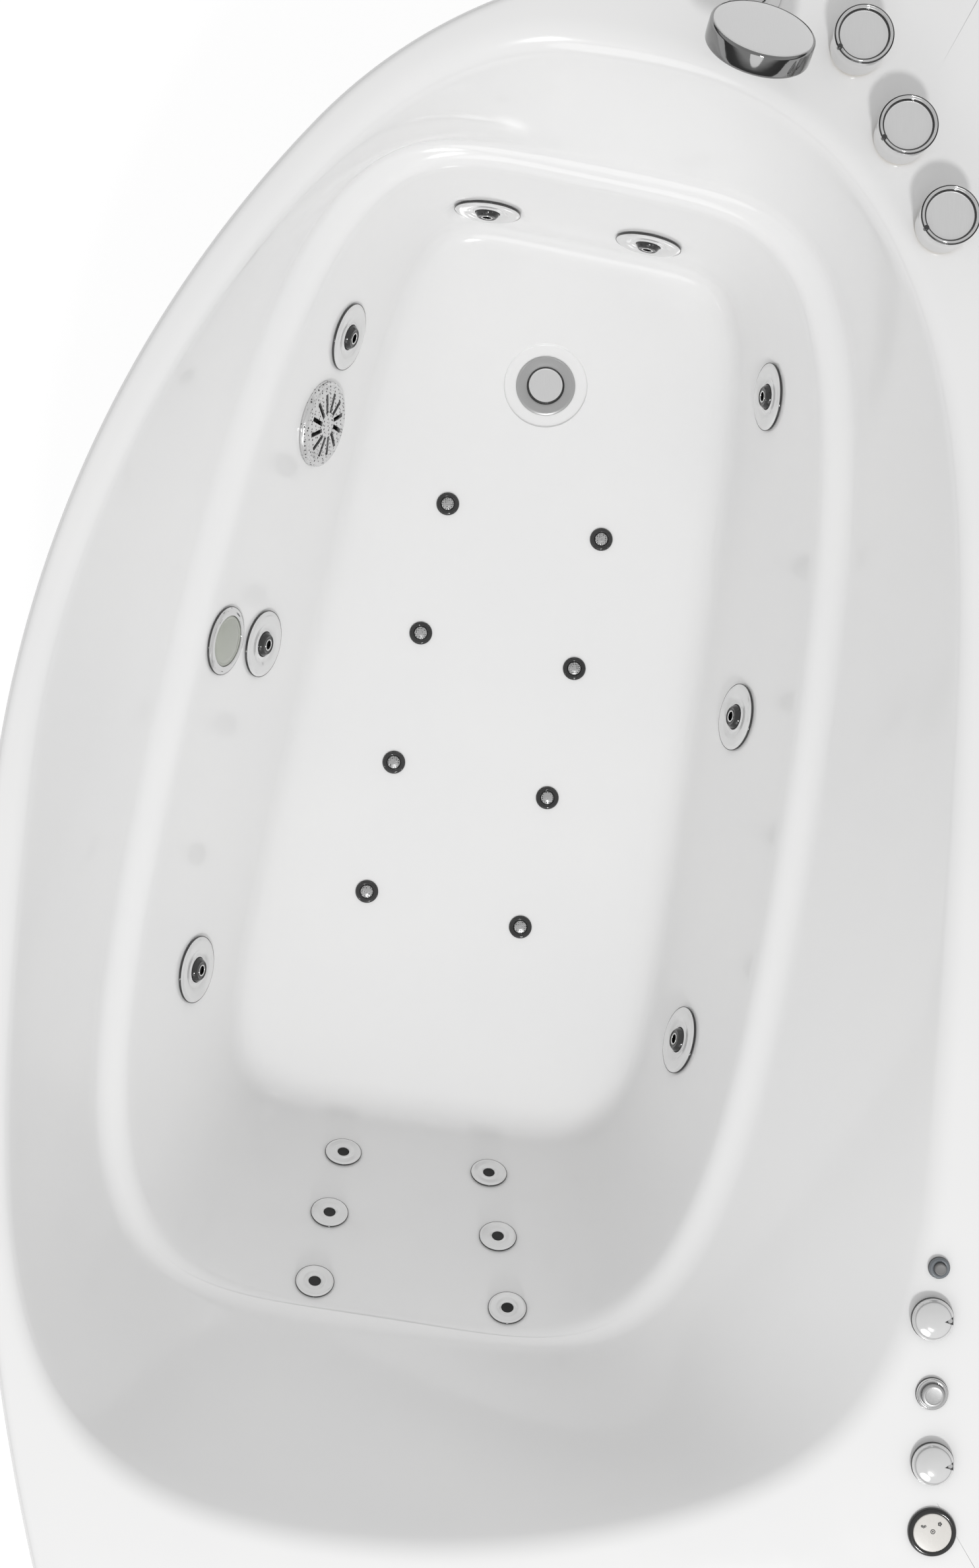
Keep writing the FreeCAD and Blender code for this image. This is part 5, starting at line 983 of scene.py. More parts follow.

# %% [markdown]
# ## Backrest jets
# Six small covers on the slope of the back, each a shallow chrome dish with a black hole. The
# black of the hole is painted shade: a separate near-black disc sunk in the cover's middle, because a
# small dark hole in a mirror needs no more than that. A thin dark ring round each cover is a painted
# reflection, as on the large jets.

# %% Backrest jets
cover = turned("back_jet_blank", [
    (6.6, 0.9, 0), (20.4, 0.9, 0.2), (20.5, 2.4, 0.9), (18.4, 3.7, 1.2), (12.0, 3.2, 2.0),
    (9.4, 3.9, 0.8), (6.6, 2.6, 0.5), (6.6, 0.9, 0)], 72)
throat_shade = turned("back_throat_blank", [(0, 0.9, 0), (6.6, 0.9, 0), (6.6, 1.8, 0), (0, 1.8, 0)], 32)
edge = turned("back_edge_blank", [
    (19.9, 1.0, 0), (20.7, 1.0, 0), (20.9, 1.5, 0.3), (20.85, 2.4, 0.3), (20.3, 2.6, 0.2), (19.9, 2.3, 0),
    (19.9, 1.0, 0)], 72)
for k, seat in enumerate(back_seats):
    on_wall = seat @ lowered
    placed(cover, f"back_jet_{k + 1}", on_wall, pale_chrome, "bath", "chrome", "back_jet_covers")
    # painted reflection: a thin dark ring round the cover
    placed(edge, f"back_jet_edge_{k + 1}", on_wall, dark_trim_and_painted_shade_chrome, "bath", "chrome")
    # painted shade: a near-black disc in the hole
    placed(throat_shade, f"back_jet_throat_{k + 1}", on_wall, painted_shade_black, "bath", "white_plastic")
cleared(cover, throat_shade, edge)
print(len(back_seats), "backrest jets")

# %% [markdown]
# ## Suction cover and lamp
# The suction is a domed cover with twelve slots round its middle. A turned disc can't have slots,
# so the cover is a round grid whose columns run beside the slots, with the faces between two
# columns taken out. A near-black plate behind it is painted shade, seen through the slots. The lamp
# is a bezel with a frosted lens, and a thin dark edge that is a painted reflection.

# %% Suction cover
def cover_height(radius):
    """Height of the cover's face over the wall, a flat dome that rolls down at its edge."""
    if radius < 41.5:
        return 9.6 - 1.7 * (radius / 41.5) ** 2
    share = min((radius - 41.5) / 7.0, 1.0)
    return 7.9 - 5.0 * (1 - math.sqrt(max(0.0, 1 - share * share)))


def slotted_cover():
    slots, slot_half = 12, 2.5
    radii = [4.5, 9.0, 13.0, 14.0, 18.0, 24.0, 30.0, 36.0, 37.0, 40.0, 42.5, 44.8, 46.6, 47.8, 48.4]
    step = 2 * math.pi / slots
    drop_selection()
    bpy.ops.mesh.primitive_circle_add(vertices=slots * 6, radius=radii[0] * MM, fill_type="TRIFAN")
    piece = bpy.context.object
    piece.name = "suction_grille"
    mesh = bmesh.new()
    mesh.from_mesh(piece.data)
    for vertex in mesh.verts:
        vertex.co.z = cover_height(vertex.co.to_2d().length / MM) * MM
    ring = sorted([v for v in mesh.verts if v.is_boundary], key=lambda v: math.atan2(v.co.y, v.co.x))
    for inner, radius in zip(radii, radii[1:]):
        onward = []
        for k in range(len(ring)):
            half = math.asin(slot_half / max(radius, 13.0))
            gap = (step - 2 * half) / 4
            turn = -math.pi + (k // 6) * step + (0, half, 2 * half, 2 * half + gap, 2 * half + 2 * gap,
                                                 2 * half + 3 * gap)[k % 6]
            onward.append(mesh.verts.new((radius * MM * math.cos(turn), radius * MM * math.sin(turn),
                                          cover_height(radius) * MM)))
        for k in range(len(ring)):
            if k % 6 < 2 and 14.0 <= inner < 36.0:
                continue
            after = (k + 1) % len(ring)
            mesh.faces.new((ring[k], onward[k], onward[after], ring[after]))
        ring = onward
    for depth in (3.0, 0.95):
        onward = [mesh.verts.new((v.co.x, v.co.y, depth * MM)) for v in ring]
        for k in range(len(ring)):
            after = (k + 1) % len(ring)
            mesh.faces.new((ring[k], onward[k], onward[after], ring[after]))
        ring = onward
    mesh.to_mesh(piece.data)
    mesh.free()
    tidy_mesh(piece, 30.0)
    if sum(f.normal.z for f in piece.data.polygons) < 0:
        piece.data.flip_normals()
    return thickened(piece, 2.2 * MM)


def pierced(name, value, hole, scale):
    """Satin metal with fine perforations that show as dark spots."""
    finish = Finish(name, Base_Color=tone(value), Metallic=0.8, Roughness=0.3)
    cells = finish.node("ShaderNodeTexVoronoi", {"feature": "F1"},
                        {"Vector": finish.place(), "Scale": scale, "Randomness": 0.35})
    limits = {"From Min": hole, "From Max": hole + 0.12, "To Min": 0.0, "To Max": 1.0}
    spot = finish.node("ShaderNodeMapRange", None, {"Value": cells, **limits})
    finish.feed("Base Color", finish.mixed(spot, tone(value * 0.12), tone(value)))
    finish.feed("Roughness", 0.6 - spot * 0.35)
    finish.bump(spot, 0.4, 0.0006)
    return finish.material


sieve_metal = pierced("sieve_metal", 0.72, 0.22, 260.0)
cap_metal = pierced("cap_metal", 0.52, 0.26, 420.0)
grille = settle(slotted_cover(), suction_seat)
dress(grille, sieve_metal, "bath", "chrome", "suction_cover")
fitting("suction_band", [
    (43.6, 7.2, 0), (45.6, 7.3, 0.8), (48.5, 3.9, 1.5), (48.5, 1.6, 0.4), (47.8, 1.6, 0),
    (46.8, 4.6, 1.0), (43.6, 6.4, 0.3), (43.6, 7.2, 0)], 96, suction_seat, chrome, "bath", "chrome")
# painted shade: a near-black plate behind the slots
fitting("suction_slot_shade", [
    (0, 1.2, 0), (40.0, 1.2, 0), (40.0, 2.0, 0.3), (0, 2.0, 0)], 64,
        suction_seat, painted_shade_black, "bath", "white_plastic")
print("suction cover:", len(grille.data.polygons), "faces")

# %% Underwater lamp
fitting("lamp_ring", [
    (28.1, 0.9, 0), (37.4, 0.9, 0.2), (37.5, 2.9, 1.0), (34.0, 5.0, 1.5), (30.0, 5.4, 1.0),
    (28.1, 4.9, 0.4), (28.1, 0.9, 0)], 96, lamp_seat, chrome, "bath", "chrome", "lamp_bezel")
# painted reflection: a thin dark ring over the bezel's outer bevel
fitting("lamp_edge", [
    (36.9, 1.0, 0), (37.7, 1.0, 0), (37.95, 1.8, 0.4), (37.8, 2.9, 0.4), (37.3, 3.1, 0.2),
    (36.9, 2.8, 0), (36.9, 1.0, 0)], 96, lamp_seat, dark_trim_and_painted_shade_chrome, "bath", "chrome")
fitting("lamp_glass", [
    (0, 0.95, 0), (27.8, 0.95, 0), (27.9, 3.6, 0.8), (26.0, 4.6, 0.6), (24.6, 4.0, 0.6),
    (19.0, 6.3, 3.0), (8.0, 7.5, 4.0), (0, 7.6, 0)], 96,
        lamp_seat, frosted_lens, "bath", "lens", "lamp_lens")
print("lamp: bezel and lens")

# %% [markdown]
# ## Floor air jets
# Eight black buttons in the floor, each with a small perforated metal cap. The black body goes
# down through the floor and the board to the air pipe, so it is turned in one with its ring.

# %% Floor air jets
button = turned("floor_jet_blank", [
    (0, -54.0, 0), (9.0, -54.0, 0), (9.0, 0.02, 0), (13.5, 0.02, 0.2), (13.4, 1.2, 0.9),
    (11.8, 3.0, 0.9), (8.9, 2.9, 0.5), (7.7, 1.4, 0.3), (7.7, 1.0, 0), (0, 1.0, 0)], 64)
cap = turned("floor_cap_blank", [
    (0, 1.05, 0), (7.5, 1.05, 0), (7.5, 2.2, 0.5), (6.6, 2.9, 0.4), (4.6, 3.3, 1.0),
    (2.4, 3.8, 0.6), (0, 3.8, 0)], 48)
spots = []
for group in clusters("floor_jet_caps", 0.03):
    low, high = group.min(axis=(0, 1)), group.max(axis=(0, 1))
    spots.append(Vector(((low[0] + high[0]) / 2, (low[1] + high[1]) / 2, WASTE.z)))
for k, spot in enumerate(spots):
    seat = Matrix.Translation(spot)
    placed(button, f"floor_jet_{k + 1}", seat, black_gloss, "bath", "black_plastic", "floor_jet_bodies")
    placed(cap, f"floor_jet_cap_{k + 1}", seat, cap_metal, "bath", "chrome", "floor_jet_caps")
cleared(button, cap)
print(len(spots), "floor jets")

# %% [markdown]
# ## Waste
# A dished satin flange lies in the recess, and a flat disc closes it. The disc lifts, so it rides
# on its own body. The gap between the two is painted shade, a near-black ring, and a thin dark line
# under the disc's edge is painted shade that sets it off from the flange.

# %% Waste flange and plug
drain = Matrix.Translation(WASTE)
fitting("waste_flange", [
    (18.2, -30.0, 0), (18.2, -2.4, 0.8), (21.6, -2.2, 0.6), (27.0, -1.2, 2.0), (32.5, -0.7, 1.2),
    (34.9, -1.9, 0.6), (34.9, -2.95, 0.1), (21.0, -2.95, 0), (21.0, -30.0, 0),
    (18.2, -30.0, 0)], 120, drain, waste_satin, "bath", "chrome", "drain_flange")
fitting("waste_plug", [
    (0, -28.2, 0), (4.0, -28.2, 0), (4.0, -1.35, 0), (20.6, -1.35, 0.3), (21.0, 0.2, 0.8),
    (20.3, 1.6, 0.5), (19.2, 1.45, 0.3), (18.4, 1.25, 0.6), (0, 1.45, 0)], 120,
        drain, satin, "drain_plug", "chrome", "drain_plug")
# painted shade: a thin dark ring under the plug's edge
fitting("plug_edge", [
    (20.2, 1.0, 0), (20.98, 0.6, 0), (20.7, 1.45, 0.3), (20.2, 1.62, 0.2), (19.6, 1.5, 0),
    (19.8, 1.1, 0), (20.2, 1.0, 0)], 120, drain, dark_trim_and_painted_shade_chrome, "drain_plug", "chrome")
# painted shade: a near-black ring in the gap between plug and flange
fitting("waste_gap_shade", [
    (18.3, -2.3, 0), (21.9, -2.1, 0), (22.1, -1.5, 0.2), (21.3, -1.45, 0), (18.3, -1.5, 0),
    (18.3, -2.3, 0)], 120, drain, painted_shade_black, "bath", "chrome")
print("waste: flange and lifting plug")

# %% [markdown]
# ## Taps
# Three fat chrome knobs with a cupped top: a rolled rim, a fine groove, and a brushed disc inset
# at the bottom of the cup. A thin dark ring on the rolled rim is a painted reflection, and another
# where the cup meets the disc is painted shade. A small pin on the rim shows how far the knob has
# turned. The frame says how high the pin is and how far it stands from the axis. It points away
# from the wall, and a little towards the head end.

# %% Tap knobs
KNOBS = ("hot_knob", "diverter_knob", "cold_knob")
KNOB_RIM = 45.3
PIN_TURN = math.radians(298)
knob_blank = turned("knob_blank", [
    (5.2, 2.4, 0), (26.0, 2.4, 0.6), (26.8, 8.0, 2.0), (27.2, 26.0, 6.0), (28.4, 36.0, 3.0),
    (28.5, 44.0, 1.6), (27.3, 45.3, 0.9), (26.5, 44.6, 0.4), (26.0, 45.0, 0.4), (24.9, 45.0, 0.7),
    (24.5, 43.4, 0.5), (24.5, 41.2, 0), (5.2, 41.2, 0), (5.2, 2.4, 0)], 120)
face_blank = turned("knob_face_blank", [
    (0, 41.22, 0), (24.4, 41.22, 0), (24.4, 41.9, 0.3), (23.2, 42.1, 0.3), (22.2, 41.7, 0.5),
    (12.0, 41.6, 4.0), (0, 41.5, 0)], 96)
pin_blank = turned("knob_pin_blank", [
    (0, -5.5, 0), (2.6, -5.5, 0), (2.6, -0.9, 0.4), (2.2, 0.0, 0.6), (0, 0.0, 0)], 32)
reflection_line_blank = turned("knob_line_blank", [
    (27.2, 44.6, 0), (28.4, 44.0, 0), (28.55, 44.4, 0.1), (27.6, 45.25, 0.2), (27.2, 45.2, 0),
    (27.2, 44.6, 0)], 120)
cup_shade_blank = turned("knob_cup_shade_blank", [
    (23.0, 41.9, 0), (24.4, 41.9, 0), (24.4, 42.5, 0.2), (23.0, 42.3, 0.2), (23.0, 41.9, 0)], 120)
for name in KNOBS:
    low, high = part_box(name)
    points = [v.co for v in nodes[name].data.vertices]
    tip = [p for p in points if p.z > high.z - 0.0004]
    tip_place = Vector((sum(p.x for p in tip), sum(p.y for p in tip), 0)) / len(tip)
    wide = [p for p in points if abs(p.z - RIM - KNOB_RIM * MM) < 0.0004]
    centre = Vector(((min(p.x for p in wide) + max(p.x for p in wide)) / 2,
                     (min(p.y for p in wide) + max(p.y for p in wide)) / 2, RIM))
    seat = Matrix.Translation(centre)
    placed(knob_blank, name.replace("knob", "tap"), seat, chrome, name, "chrome", name)
    placed(face_blank, name.replace("knob", "face"), seat, satin, name, "chrome")
    # painted reflection: a thin dark ring on the rolled rim
    placed(reflection_line_blank, name.replace("knob", "line"), seat, dark_trim_and_painted_shade_chrome, name, "chrome")
    # painted shade: a dark ring where the cup meets the disc
    placed(cup_shade_blank, name.replace("knob", "cup_shade"), seat, dark_trim_and_painted_shade_chrome, name, "chrome")
    away = (tip_place - centre).to_2d().length
    pin_place = centre + away * Vector((math.cos(PIN_TURN), math.sin(PIN_TURN), 0))
    pin_seat = Matrix.Translation((pin_place.x, pin_place.y, high.z))
    placed(pin_blank, name.replace("knob", "pin"), pin_seat, dark_trim_and_painted_shade_chrome, name, "chrome")
cleared(knob_blank, face_blank, pin_blank, reflection_line_blank, cup_shade_blank)
print(len(KNOBS), "tap knobs")

# %% [markdown]
# ## Hand shower
# A flat round head on a bent handle that stands in a holder in the rim. The back of the head is
# brushed, its edge band is dark plating, a painted reflection of the dim room, and the spray face
# below has rings of rubber nipples.
# The handle is one circle: drawn up, spun round the bend, and drawn on to the head.

# %% Holder and handle
low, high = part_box("shower_holder")
HOLDER = Vector(((low.x + high.x) / 2, (low.y + high.y) / 2, RIM))
fitting("shower_socket", [
    (11.7, -50.0, 0), (11.7, 5.0, 0.5), (13.0, 6.0, 0.8), (15.5, 5.8, 1.5), (21.0, 3.4, 4.0),
    (25.6, 1.8, 0.8), (26.0, 0.02, 0.3), (15.0, 0.02, 0), (15.0, -6.4, 0), (19.4, -6.4, 0.5),
    (19.4, -14.2, 0.5), (15.0, -14.2, 0), (15.0, -50.0, 0), (11.7, -50.0, 0)], 96,
        Matrix.Translation(HOLDER), chrome, "bath", "chrome", "shower_holder")

TILT, TURN, TWIST = math.radians(43.0), math.radians(-5.0), math.radians(-12.0)
THROW, RISE, BEND = 74.0, 85.5, 22.0
knee = RISE - THROW * math.tan(TILT)
reach = BEND * math.tan((math.pi / 2 - TILT) / 2)


def bent_handle():
    drop_selection()
    bpy.ops.mesh.primitive_circle_add(vertices=48, radius=11.3 * MM, location=(0, 0, -50 * MM),
                                      fill_type="NGON")
    piece = bpy.context.object
    piece.name = "shower_handle"
    bpy.ops.object.transform_apply(location=True)
    bpy.ops.object.mode_set(mode="EDIT")
    bpy.ops.mesh.select_all(action="SELECT")
    bpy.ops.mesh.extrude_region_move(
        TRANSFORM_OT_translate={"value": (0, 0, (knee - reach + 50) * MM)})
    bpy.ops.mesh.spin(steps=10, angle=math.pi / 2 - TILT, axis=(0, 1, 0),
                      center=(BEND * MM, 0, (knee - reach) * MM))
    run = (math.hypot(THROW, RISE - knee) - reach - 4) * MM
    bpy.ops.mesh.extrude_region_move(
        TRANSFORM_OT_translate={"value": (run * math.cos(TILT), 0, run * math.sin(TILT))})
    bpy.ops.object.mode_set(mode="OBJECT")
    return tidy_mesh(piece, 40.0)


hand_turn = Matrix.Translation(HOLDER) @ Matrix.Rotation(TURN, 4, "Z")
handle = settle(bent_handle(), hand_turn)
top = max(v.co.x for v in handle.data.vertices)
dress(handle, chrome, "hand_shower", "chrome", "hand_shower")
print("handle reaches", round(top / MM), "mm along the bath")

# %% Shower head
face = Vector((math.sin(TILT), 0, -math.cos(TILT)))
side = Vector((0, 1, 0))
basis = Matrix((side.cross(face), side, face)).transposed().to_4x4()
basis.translation = Vector((THROW, 0, RISE)) * MM
head_seat = hand_turn @ Matrix.Translation(basis.translation) @ Matrix.Rotation(TWIST, 4, "Z")
head_seat = head_seat @ basis.to_3x3().to_4x4()
# painted reflection: the head's plating is dark, for the dim room seen in its edge band
fitting("shower_head", [
    (0, 10.9, 0), (46.0, 10.9, 0.8), (48.4, 11.5, 0.8), (50.6, 9.6, 1.4), (51.0, 0.0, 6.0),
    (50.7, -9.8, 1.2), (49.2, -11.4, 0.9), (48.0, -10.9, 0.5), (0, -10.9, 0)], 128,
        head_seat, shower_painted_reflection_chrome, "hand_shower", "chrome")
fitting("shower_back", [
    (0, -10.6, 0), (47.9, -10.6, 0), (47.9, -11.1, 0.2), (46.8, -11.5, 0.5), (24.0, -11.5, 6.0),
    (0, -11.5, 0)], 96, head_seat, shower_satin, "hand_shower", "chrome")
fitting("shower_spray", [
    (0, 10.9, 0), (45.4, 10.9, 0), (45.2, 11.35, 0.3), (43.5, 11.4, 0.3), (0, 11.4, 0)], 96,
        head_seat, grey_plastic, "hand_shower", "chrome")
nipple = turned("nipple_blank", [(0, 11.3, 0), (1.5, 11.3, 0), (1.1, 12.0, 0.3), (0, 12.0, 0)], 12)
nipples = []
for ring_radius, count in ((12, 6), (22, 12), (31, 18), (39, 24)):
    for k in range(count):
        turn = 2 * math.pi * k / count
        spot = Matrix.Translation((ring_radius * math.cos(turn) * MM, ring_radius * math.sin(turn) * MM,
                                   -0.6 * MM))
        nipples.append(settle(copied(nipple, "nipple"), head_seat @ spot))
bpy.data.objects.remove(nipple)
dress(joined(nipples, "shower_nipples"), rubber, "hand_shower", "chrome")
print("hand shower with", len(nipples), "nipples")

# %% [markdown]
# ## Controls
# Along the wall side stand a lamp button, two air regulators, a pump button and a keypad. The
# regulators are domes with a wedge cut out, which shows where they point: here to the wall. The
# wedge is cut with a boolean, and a thin dark copy of the saw lies on the notch's floor as painted
# shade. A thin dark ring at the foot of each bezel and each dome is painted shade too.

# %% Buttons
def button_pair(name, diameter, ring_finish, cap_finish):
    """Bezel and button; both go down through the rim."""
    outer, bore = diameter / 2, diameter / 2 - 4.5
    barrel = (diameter - 5) / 2
    seat = top_seat(f"{name}_button", RIM)
    slot = "chrome" if name == "pump" else "black_plastic"
    fitting(f"{name}_ring", [
        (bore, -31.0, 0), (bore, 4.8, 0.3), (bore + 0.8, 5.6, 0.4), (outer - 1.8, 6.0, 0.8),
        (outer - 0.3, 4.6, 1.0), (outer, 2.4, 0.6), (outer, 0.02, 0), (barrel, 0.02, 0),
        (barrel, -34.0, 0), (bore - 1.0, -34.0, 0), (bore, -31.0, 0)], 96,
            seat, ring_finish, "bath", slot, f"{name}_button_bezel")
    fitting(f"{name}_ring_line", [
        # painted shade: a thin dark ring at the bezel's foot
        (outer - 0.6, 0.1, 0), (outer + 0.25, 0.1, 0), (outer + 0.45, 0.8, 0.2), (outer + 0.3, 2.2, 0.2),
        (outer - 0.6, 2.2, 0), (outer - 0.6, 0.1, 0)], 96, seat, dark_trim_and_painted_shade_chrome, "bath", "chrome")
    fitting(f"{name}_cap", [
        (0, -26.0, 0), (bore - 0.1, -26.0, 0), (bore - 0.1, 8.6, 0), (bore - 0.3, 9.6, 0.6),
        (bore * 0.78, 10.2, 0.8), (bore * 0.70, 9.9, 0.4), (0, 9.6, 0)], 72,
            seat, cap_finish, f"{name}_button", slot, f"{name}_button")


button_pair("lamp", 20.6, slate_plastic, grey_plastic)
button_pair("pump", 31.0, chrome, waste_satin)
print("two push buttons")

# %% Air regulators
NOTCH_TIP, NOTCH_FLOOR, NOTCH_SPREAD = 9.2, 10.6, 0.27


def wedge(name, seat, wide, height):
    """A three-sided block: tall, it is the saw; thin, it is the painted shade on the notch's floor."""
    drop_selection()
    bpy.ops.mesh.primitive_circle_add(vertices=3, radius=10 * MM, fill_type="NGON")
    block = bpy.context.object
    block.name = name
    half = wide * NOTCH_SPREAD
    outline = ((NOTCH_TIP, 0.1), (wide, -half), (wide, half))
    for vertex, (x, y) in zip(block.data.vertices, outline):
        vertex.co = (x * MM, y * MM, NOTCH_FLOOR * MM)
    bpy.ops.object.mode_set(mode="EDIT")
    bpy.ops.mesh.select_all(action="SELECT")
    bpy.ops.mesh.extrude_region_move(TRANSFORM_OT_translate={"value": (0, 0, height * MM)})
    bpy.ops.object.mode_set(mode="OBJECT")
    tidy_mesh(block, 10.0)
    return settle(block, seat)


REGULATOR_TURN = math.radians(90)
for name in ("first", "second"):
    node = f"{name}_regulator_knob"
    seat = top_seat(node, RIM) @ Matrix.Rotation(REGULATOR_TURN, 4, "Z")
    dome = settle(turned(f"{name}_dome", [
        (0, 2.35, 0), (20.3, 2.35, 0.4), (20.5, 6.0, 1.5), (20.2, 9.4, 2.0), (17.2, 13.6, 3.5),
        (9.5, 16.9, 4.0), (0, 17.6, 0)], 128, steps=8), seat)
    saw = wedge("saw", seat, 24.0, 14.0)
    pick(dome)
    cut = dome.modifiers.new("wedge", "BOOLEAN")
    cut.object = saw
    cut.operation = "DIFFERENCE"
    cut.solver = "EXACT"
    bpy.ops.object.modifier_apply(modifier="wedge")
    bpy.data.objects.remove(saw)
    tidy_mesh(dome, 35.0)
    dress(dome, pale_chrome, node, "chrome", node)
    fitting(f"{name}_regulator_foot", [
        (0, -44.0, 0), (13.0, -44.0, 0), (13.0, 0.02, 0), (20.4, 0.02, 0.2), (20.5, 1.4, 0.5),
        (19.8, 2.0, 0.3), (0, 2.0, 0)], 96, seat, chrome, "bath", "chrome", "regulator_bodies")
    # painted shade: a thin dark ring at the dome's lower edge
    fitting(f"{name}_regulator_line", [
        (19.8, 2.3, 0), (20.8, 2.3, 0), (21.1, 3.4, 0.3), (20.9, 5.4, 0.3), (19.8, 5.2, 0),
        (19.8, 2.3, 0)], 96, seat, dark_trim_and_painted_shade_chrome, node, "chrome")
    # painted shade: a thin dark plate on the notch's floor
    floor = wedge(f"{name}_notch", seat, 18.6, 0.4)
    dress(floor, dark_trim_and_painted_shade_chrome, node, "chrome")
    fitting(f"{name}_pointer", [
        (0, 10.6, 0), (2.6, 10.6, 0), (2.6, 11.6, 0.5), (1.8, 12.2, 0.4), (0, 12.3, 0)], 32,
            seat @ Matrix.Translation((15.5 * MM, 0, 0)), chrome, node, "chrome")
print("two air regulators")

# %% Keypad
pad = top_seat("keypad_face", RIM)
fitting("keypad_bezel", [
    (0, -22.0, 0), (6.0, -22.0, 0), (6.0, 0.02, 0), (23.6, 0.02, 0.2), (23.7, 2.2, 0.8),
    (22.4, 4.6, 1.4), (20.4, 5.0, 0.8), (19.2, 4.6, 0.3), (18.8, 4.0, 0.3), (18.8, 2.5, 0),
    (0, 2.5, 0)], 120, pad, black_gloss, "bath", "black_plastic", "keypad_ring")
fitting("keypad_touch", [
    (0, 2.52, 0), (18.6, 2.52, 0), (18.6, 3.8, 0.3), (17.8, 4.3, 0.5), (9.0, 4.7, 3.0),
    (0, 4.8, 0)], 96, pad, warm_plastic, "bath", "white_plastic", "keypad_face")
marks = []


def mark_ring(across, along, radius, width):
    """A thin printed circle; across is towards the wall, along is towards the head end."""
    place = pad @ Matrix.Translation((along * MM, across * MM, 0))
    marks.append(settle(turned("mark", [
        (radius - width, 4.2, 0), (radius, 4.2, 0), (radius, 4.86, 0), (radius - width, 4.86, 0),
        (radius - width, 4.2, 0)], 32), place))


mark_ring(0.2, -1.4, 2.4, 0.8)
mark_ring(0.2, -1.4, 0.9, 0.7)
for turn in range(5):
    angle = 2 * math.pi * turn / 5
    mark_ring(7.0 + 1.3 * math.cos(angle), -8.6 + 1.3 * math.sin(angle), 0.8, 0.75)
for step in range(3):
    mark_ring(-10.2 + 1.5 * step, -6.6 + 0.7 * (step % 2), 1.1, 0.6)
dress(joined(marks, "keypad_marks"), black_plastic, "bath", "white_plastic")
print("keypad with", len(marks), "printed marks")

# %% [markdown]
# ## Under the rim
# Frame, feet, board, machinery and pipes are hidden in use. Their solids are the right shapes
# already, so they stay, and each gets its own finish.

# %% Finishes of the hidden parts
HIDDEN_FINISHES = {
    "frame_long_rails": frame_paint, "frame_cross_rails": frame_paint, "frame_uprights": frame_paint,
    "foot_pads": rubber, "foot_studs": zinc, "pump_bracket": zinc, "base_board": board,
    "jet_bodies": white_plastic, "back_jet_bodies": white_plastic, "suction_body": white_plastic,
    "water_pipes": white_plastic, "suction_pipe": white_plastic, "air_pipes": white_plastic,
    "waste_trap": white_plastic, "pump_wet_end": black_plastic, "pump_motor": motor_paint,
    "air_blower": grey_plastic, "control_box": grey_plastic, "tap_valves": brass,
    "lamp_housing": black_plastic,
}
for name, finish in HIDDEN_FINISHES.items():
    piece = nodes[name]
    if not piece.material_slots:
        piece.data.materials.append(finish)
    for place in piece.material_slots:
        place.material = finish
print(len(HIDDEN_FINISHES), "solids keep their shape")

# %% [markdown]
# ## Studio
# The bath stands on a white floor under a pale sky, with a key lamp high up on the head side and a
# weak, wide one below it, so that the shadows fall to the foot end. The sky is darker near the
# horizon: plating shows what is round it, and without something dim there it would look like
# paint. The floor is lit like the rest, and shows extra white to the camera and in reflections, so
# the background is white and keeps the shadow.

# %% Floor
drop_selection()
bpy.ops.mesh.primitive_plane_add(size=14)
ground = bpy.context.object
ground.name = "studio_floor"
paper = bpy.data.materials.new("studio_paper")
paper.use_nodes = True
tree = paper.node_tree
surface = tree.nodes["Principled BSDF"]
surface.inputs["Base Color"].default_value = tone(0.82)
surface.inputs["Roughness"].default_value = 0.9
glow = tree.nodes.new("ShaderNodeEmission")
rays = tree.nodes.new("ShaderNodeLightPath")
either = Amount(tree, rays.outputs["Is Camera Ray"]) + Amount(tree, rays.outputs["Is Glossy Ray"])
either = either + Amount(tree, rays.outputs["Is Transmission Ray"])
mix = tree.nodes.new("ShaderNodeMixShader")
tree.links.new((either * 0.78).socket, mix.inputs["Fac"])
tree.links.new(surface.outputs["BSDF"], mix.inputs[1])
tree.links.new(glow.outputs["Emission"], mix.inputs[2])
tree.links.new(mix.outputs["Shader"], tree.nodes["Material Output"].inputs["Surface"])
glow.inputs["Strength"].default_value = 1.12
ground.data.materials.append(paper)
print("floor:", ground.dimensions.x, "m wide")

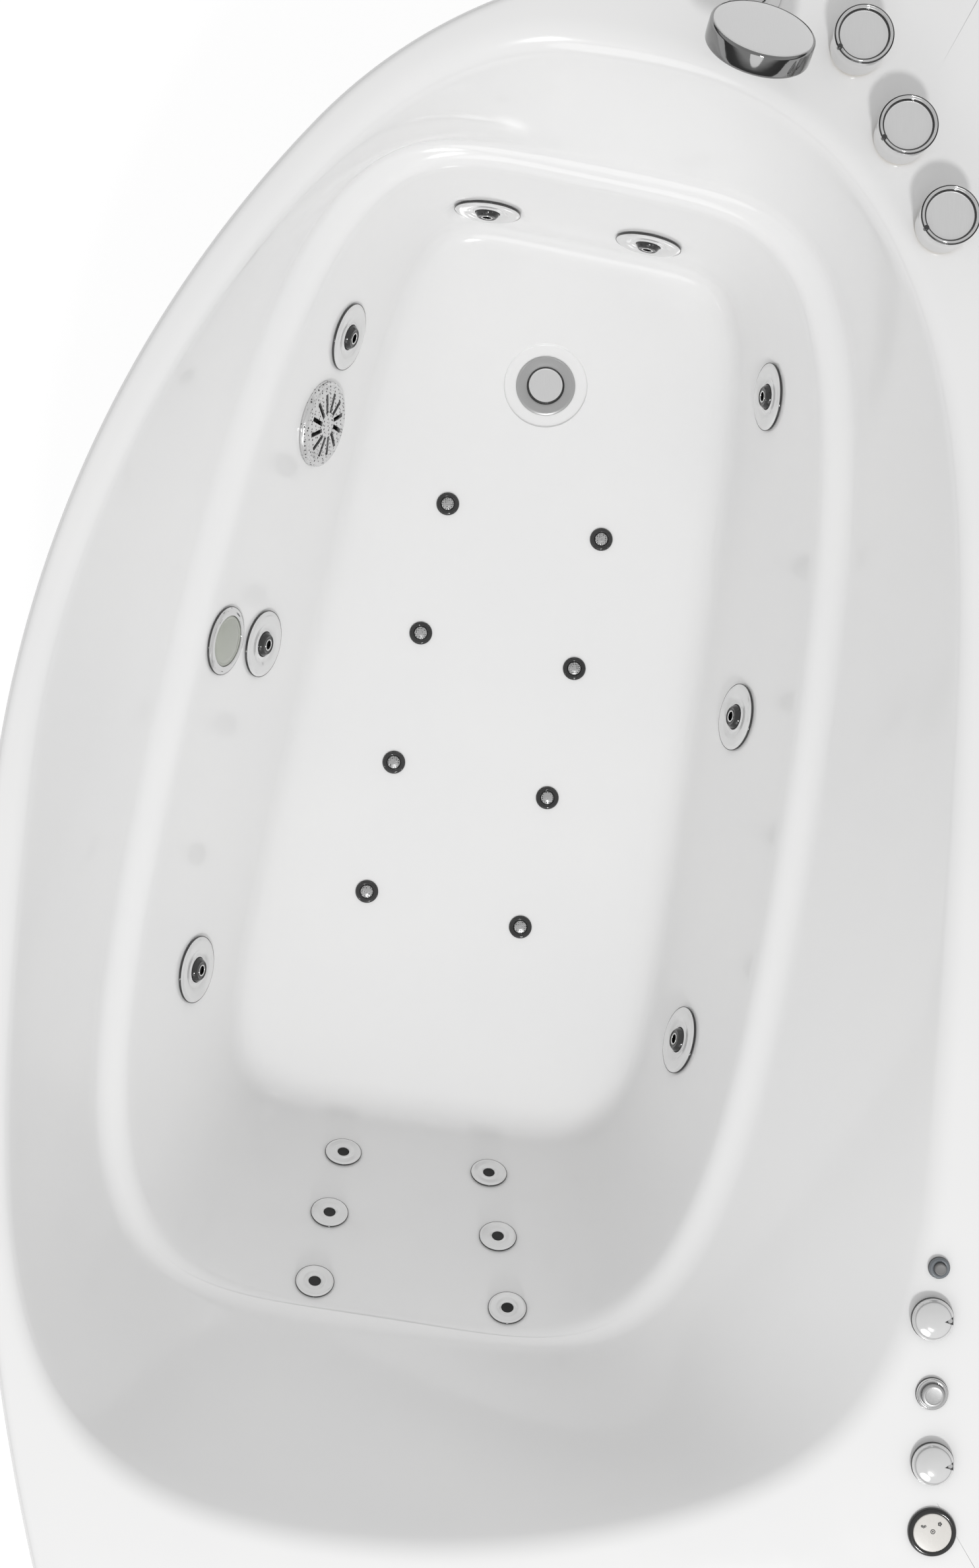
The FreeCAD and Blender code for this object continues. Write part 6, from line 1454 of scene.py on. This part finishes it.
# %% Sky
world = bpy.data.worlds.new("studio_sky")
bpy.context.scene.world = world
world.use_nodes = True
tree = world.node_tree
direction = tree.nodes.new("ShaderNodeTexCoord")
split = tree.nodes.new("ShaderNodeSeparateXYZ")
ramp = tree.nodes.new("ShaderNodeValToRGB")
rays = tree.nodes.new("ShaderNodeLightPath")
blend = tree.nodes.new("ShaderNodeMix")
blend.data_type = "RGBA"
tree.links.new(direction.outputs["Generated"], split.inputs[0])
tree.links.new(split.outputs["Z"], ramp.inputs[0])
stops = ramp.color_ramp.elements
stops[0].position, stops[0].color = 0.0, tone(0.10)
stops[1].position, stops[1].color = 1.0, tone(0.60)
for position, value in ((0.14, 0.13), (0.29, 0.68), (0.60, 0.69)):
    stop = stops.new(position)
    stop.color = tone(value)
tree.links.new(rays.outputs["Is Camera Ray"], blend.inputs[0])
tree.links.new(ramp.outputs["Color"], blend.inputs[6])
blend.inputs[7].default_value = (1.0, 1.0, 1.0, 1.0)
tree.links.new(blend.outputs[2], tree.nodes["Background"].inputs["Color"])
print("sky: dim at the horizon, pale above")

# %% Lamps
def lamp(name, place, aim, size, power):
    data = bpy.data.lights.new(name, "AREA")
    data.shape = "DISK"
    data.size = size
    data.energy = power
    light = bpy.data.objects.new(name, data)
    bpy.context.scene.collection.objects.link(light)
    light.location = place
    light.rotation_euler = (Vector(aim) - Vector(place)).to_track_quat("-Z", "Y").to_euler()
    light.visible_camera = False
    return light


lamp("key_lamp", (4.9, 0.6, 7.3), (0.0, 0.0, 0.5), 0.9, 250)
lamp("head_lamp", (3.8, -0.8, 2.9), (0.0, 0.0, 0.45), 2.4, 20)
print("two lamps")

# %% [markdown]
# ## Camera
# The photograph looks straight down from 2.62 metres above the ground, with the foot end at its
# top. The rim runs out of the picture at the wall side.

# %% Camera
CAMERA_HEIGHT = 2.62
bpy.ops.object.camera_add(location=(0.0, 0.0, CAMERA_HEIGHT), rotation=(0.0, 0.0, math.pi / 2))
camera = bpy.context.object
camera.data.sensor_fit = "VERTICAL"
camera.data.sensor_height = 24.0
camera.data.lens = 32.19
bpy.context.scene.camera = camera
bpy.context.scene.view_settings.view_transform = "Standard"
print("camera:", camera.data.lens, "mm")
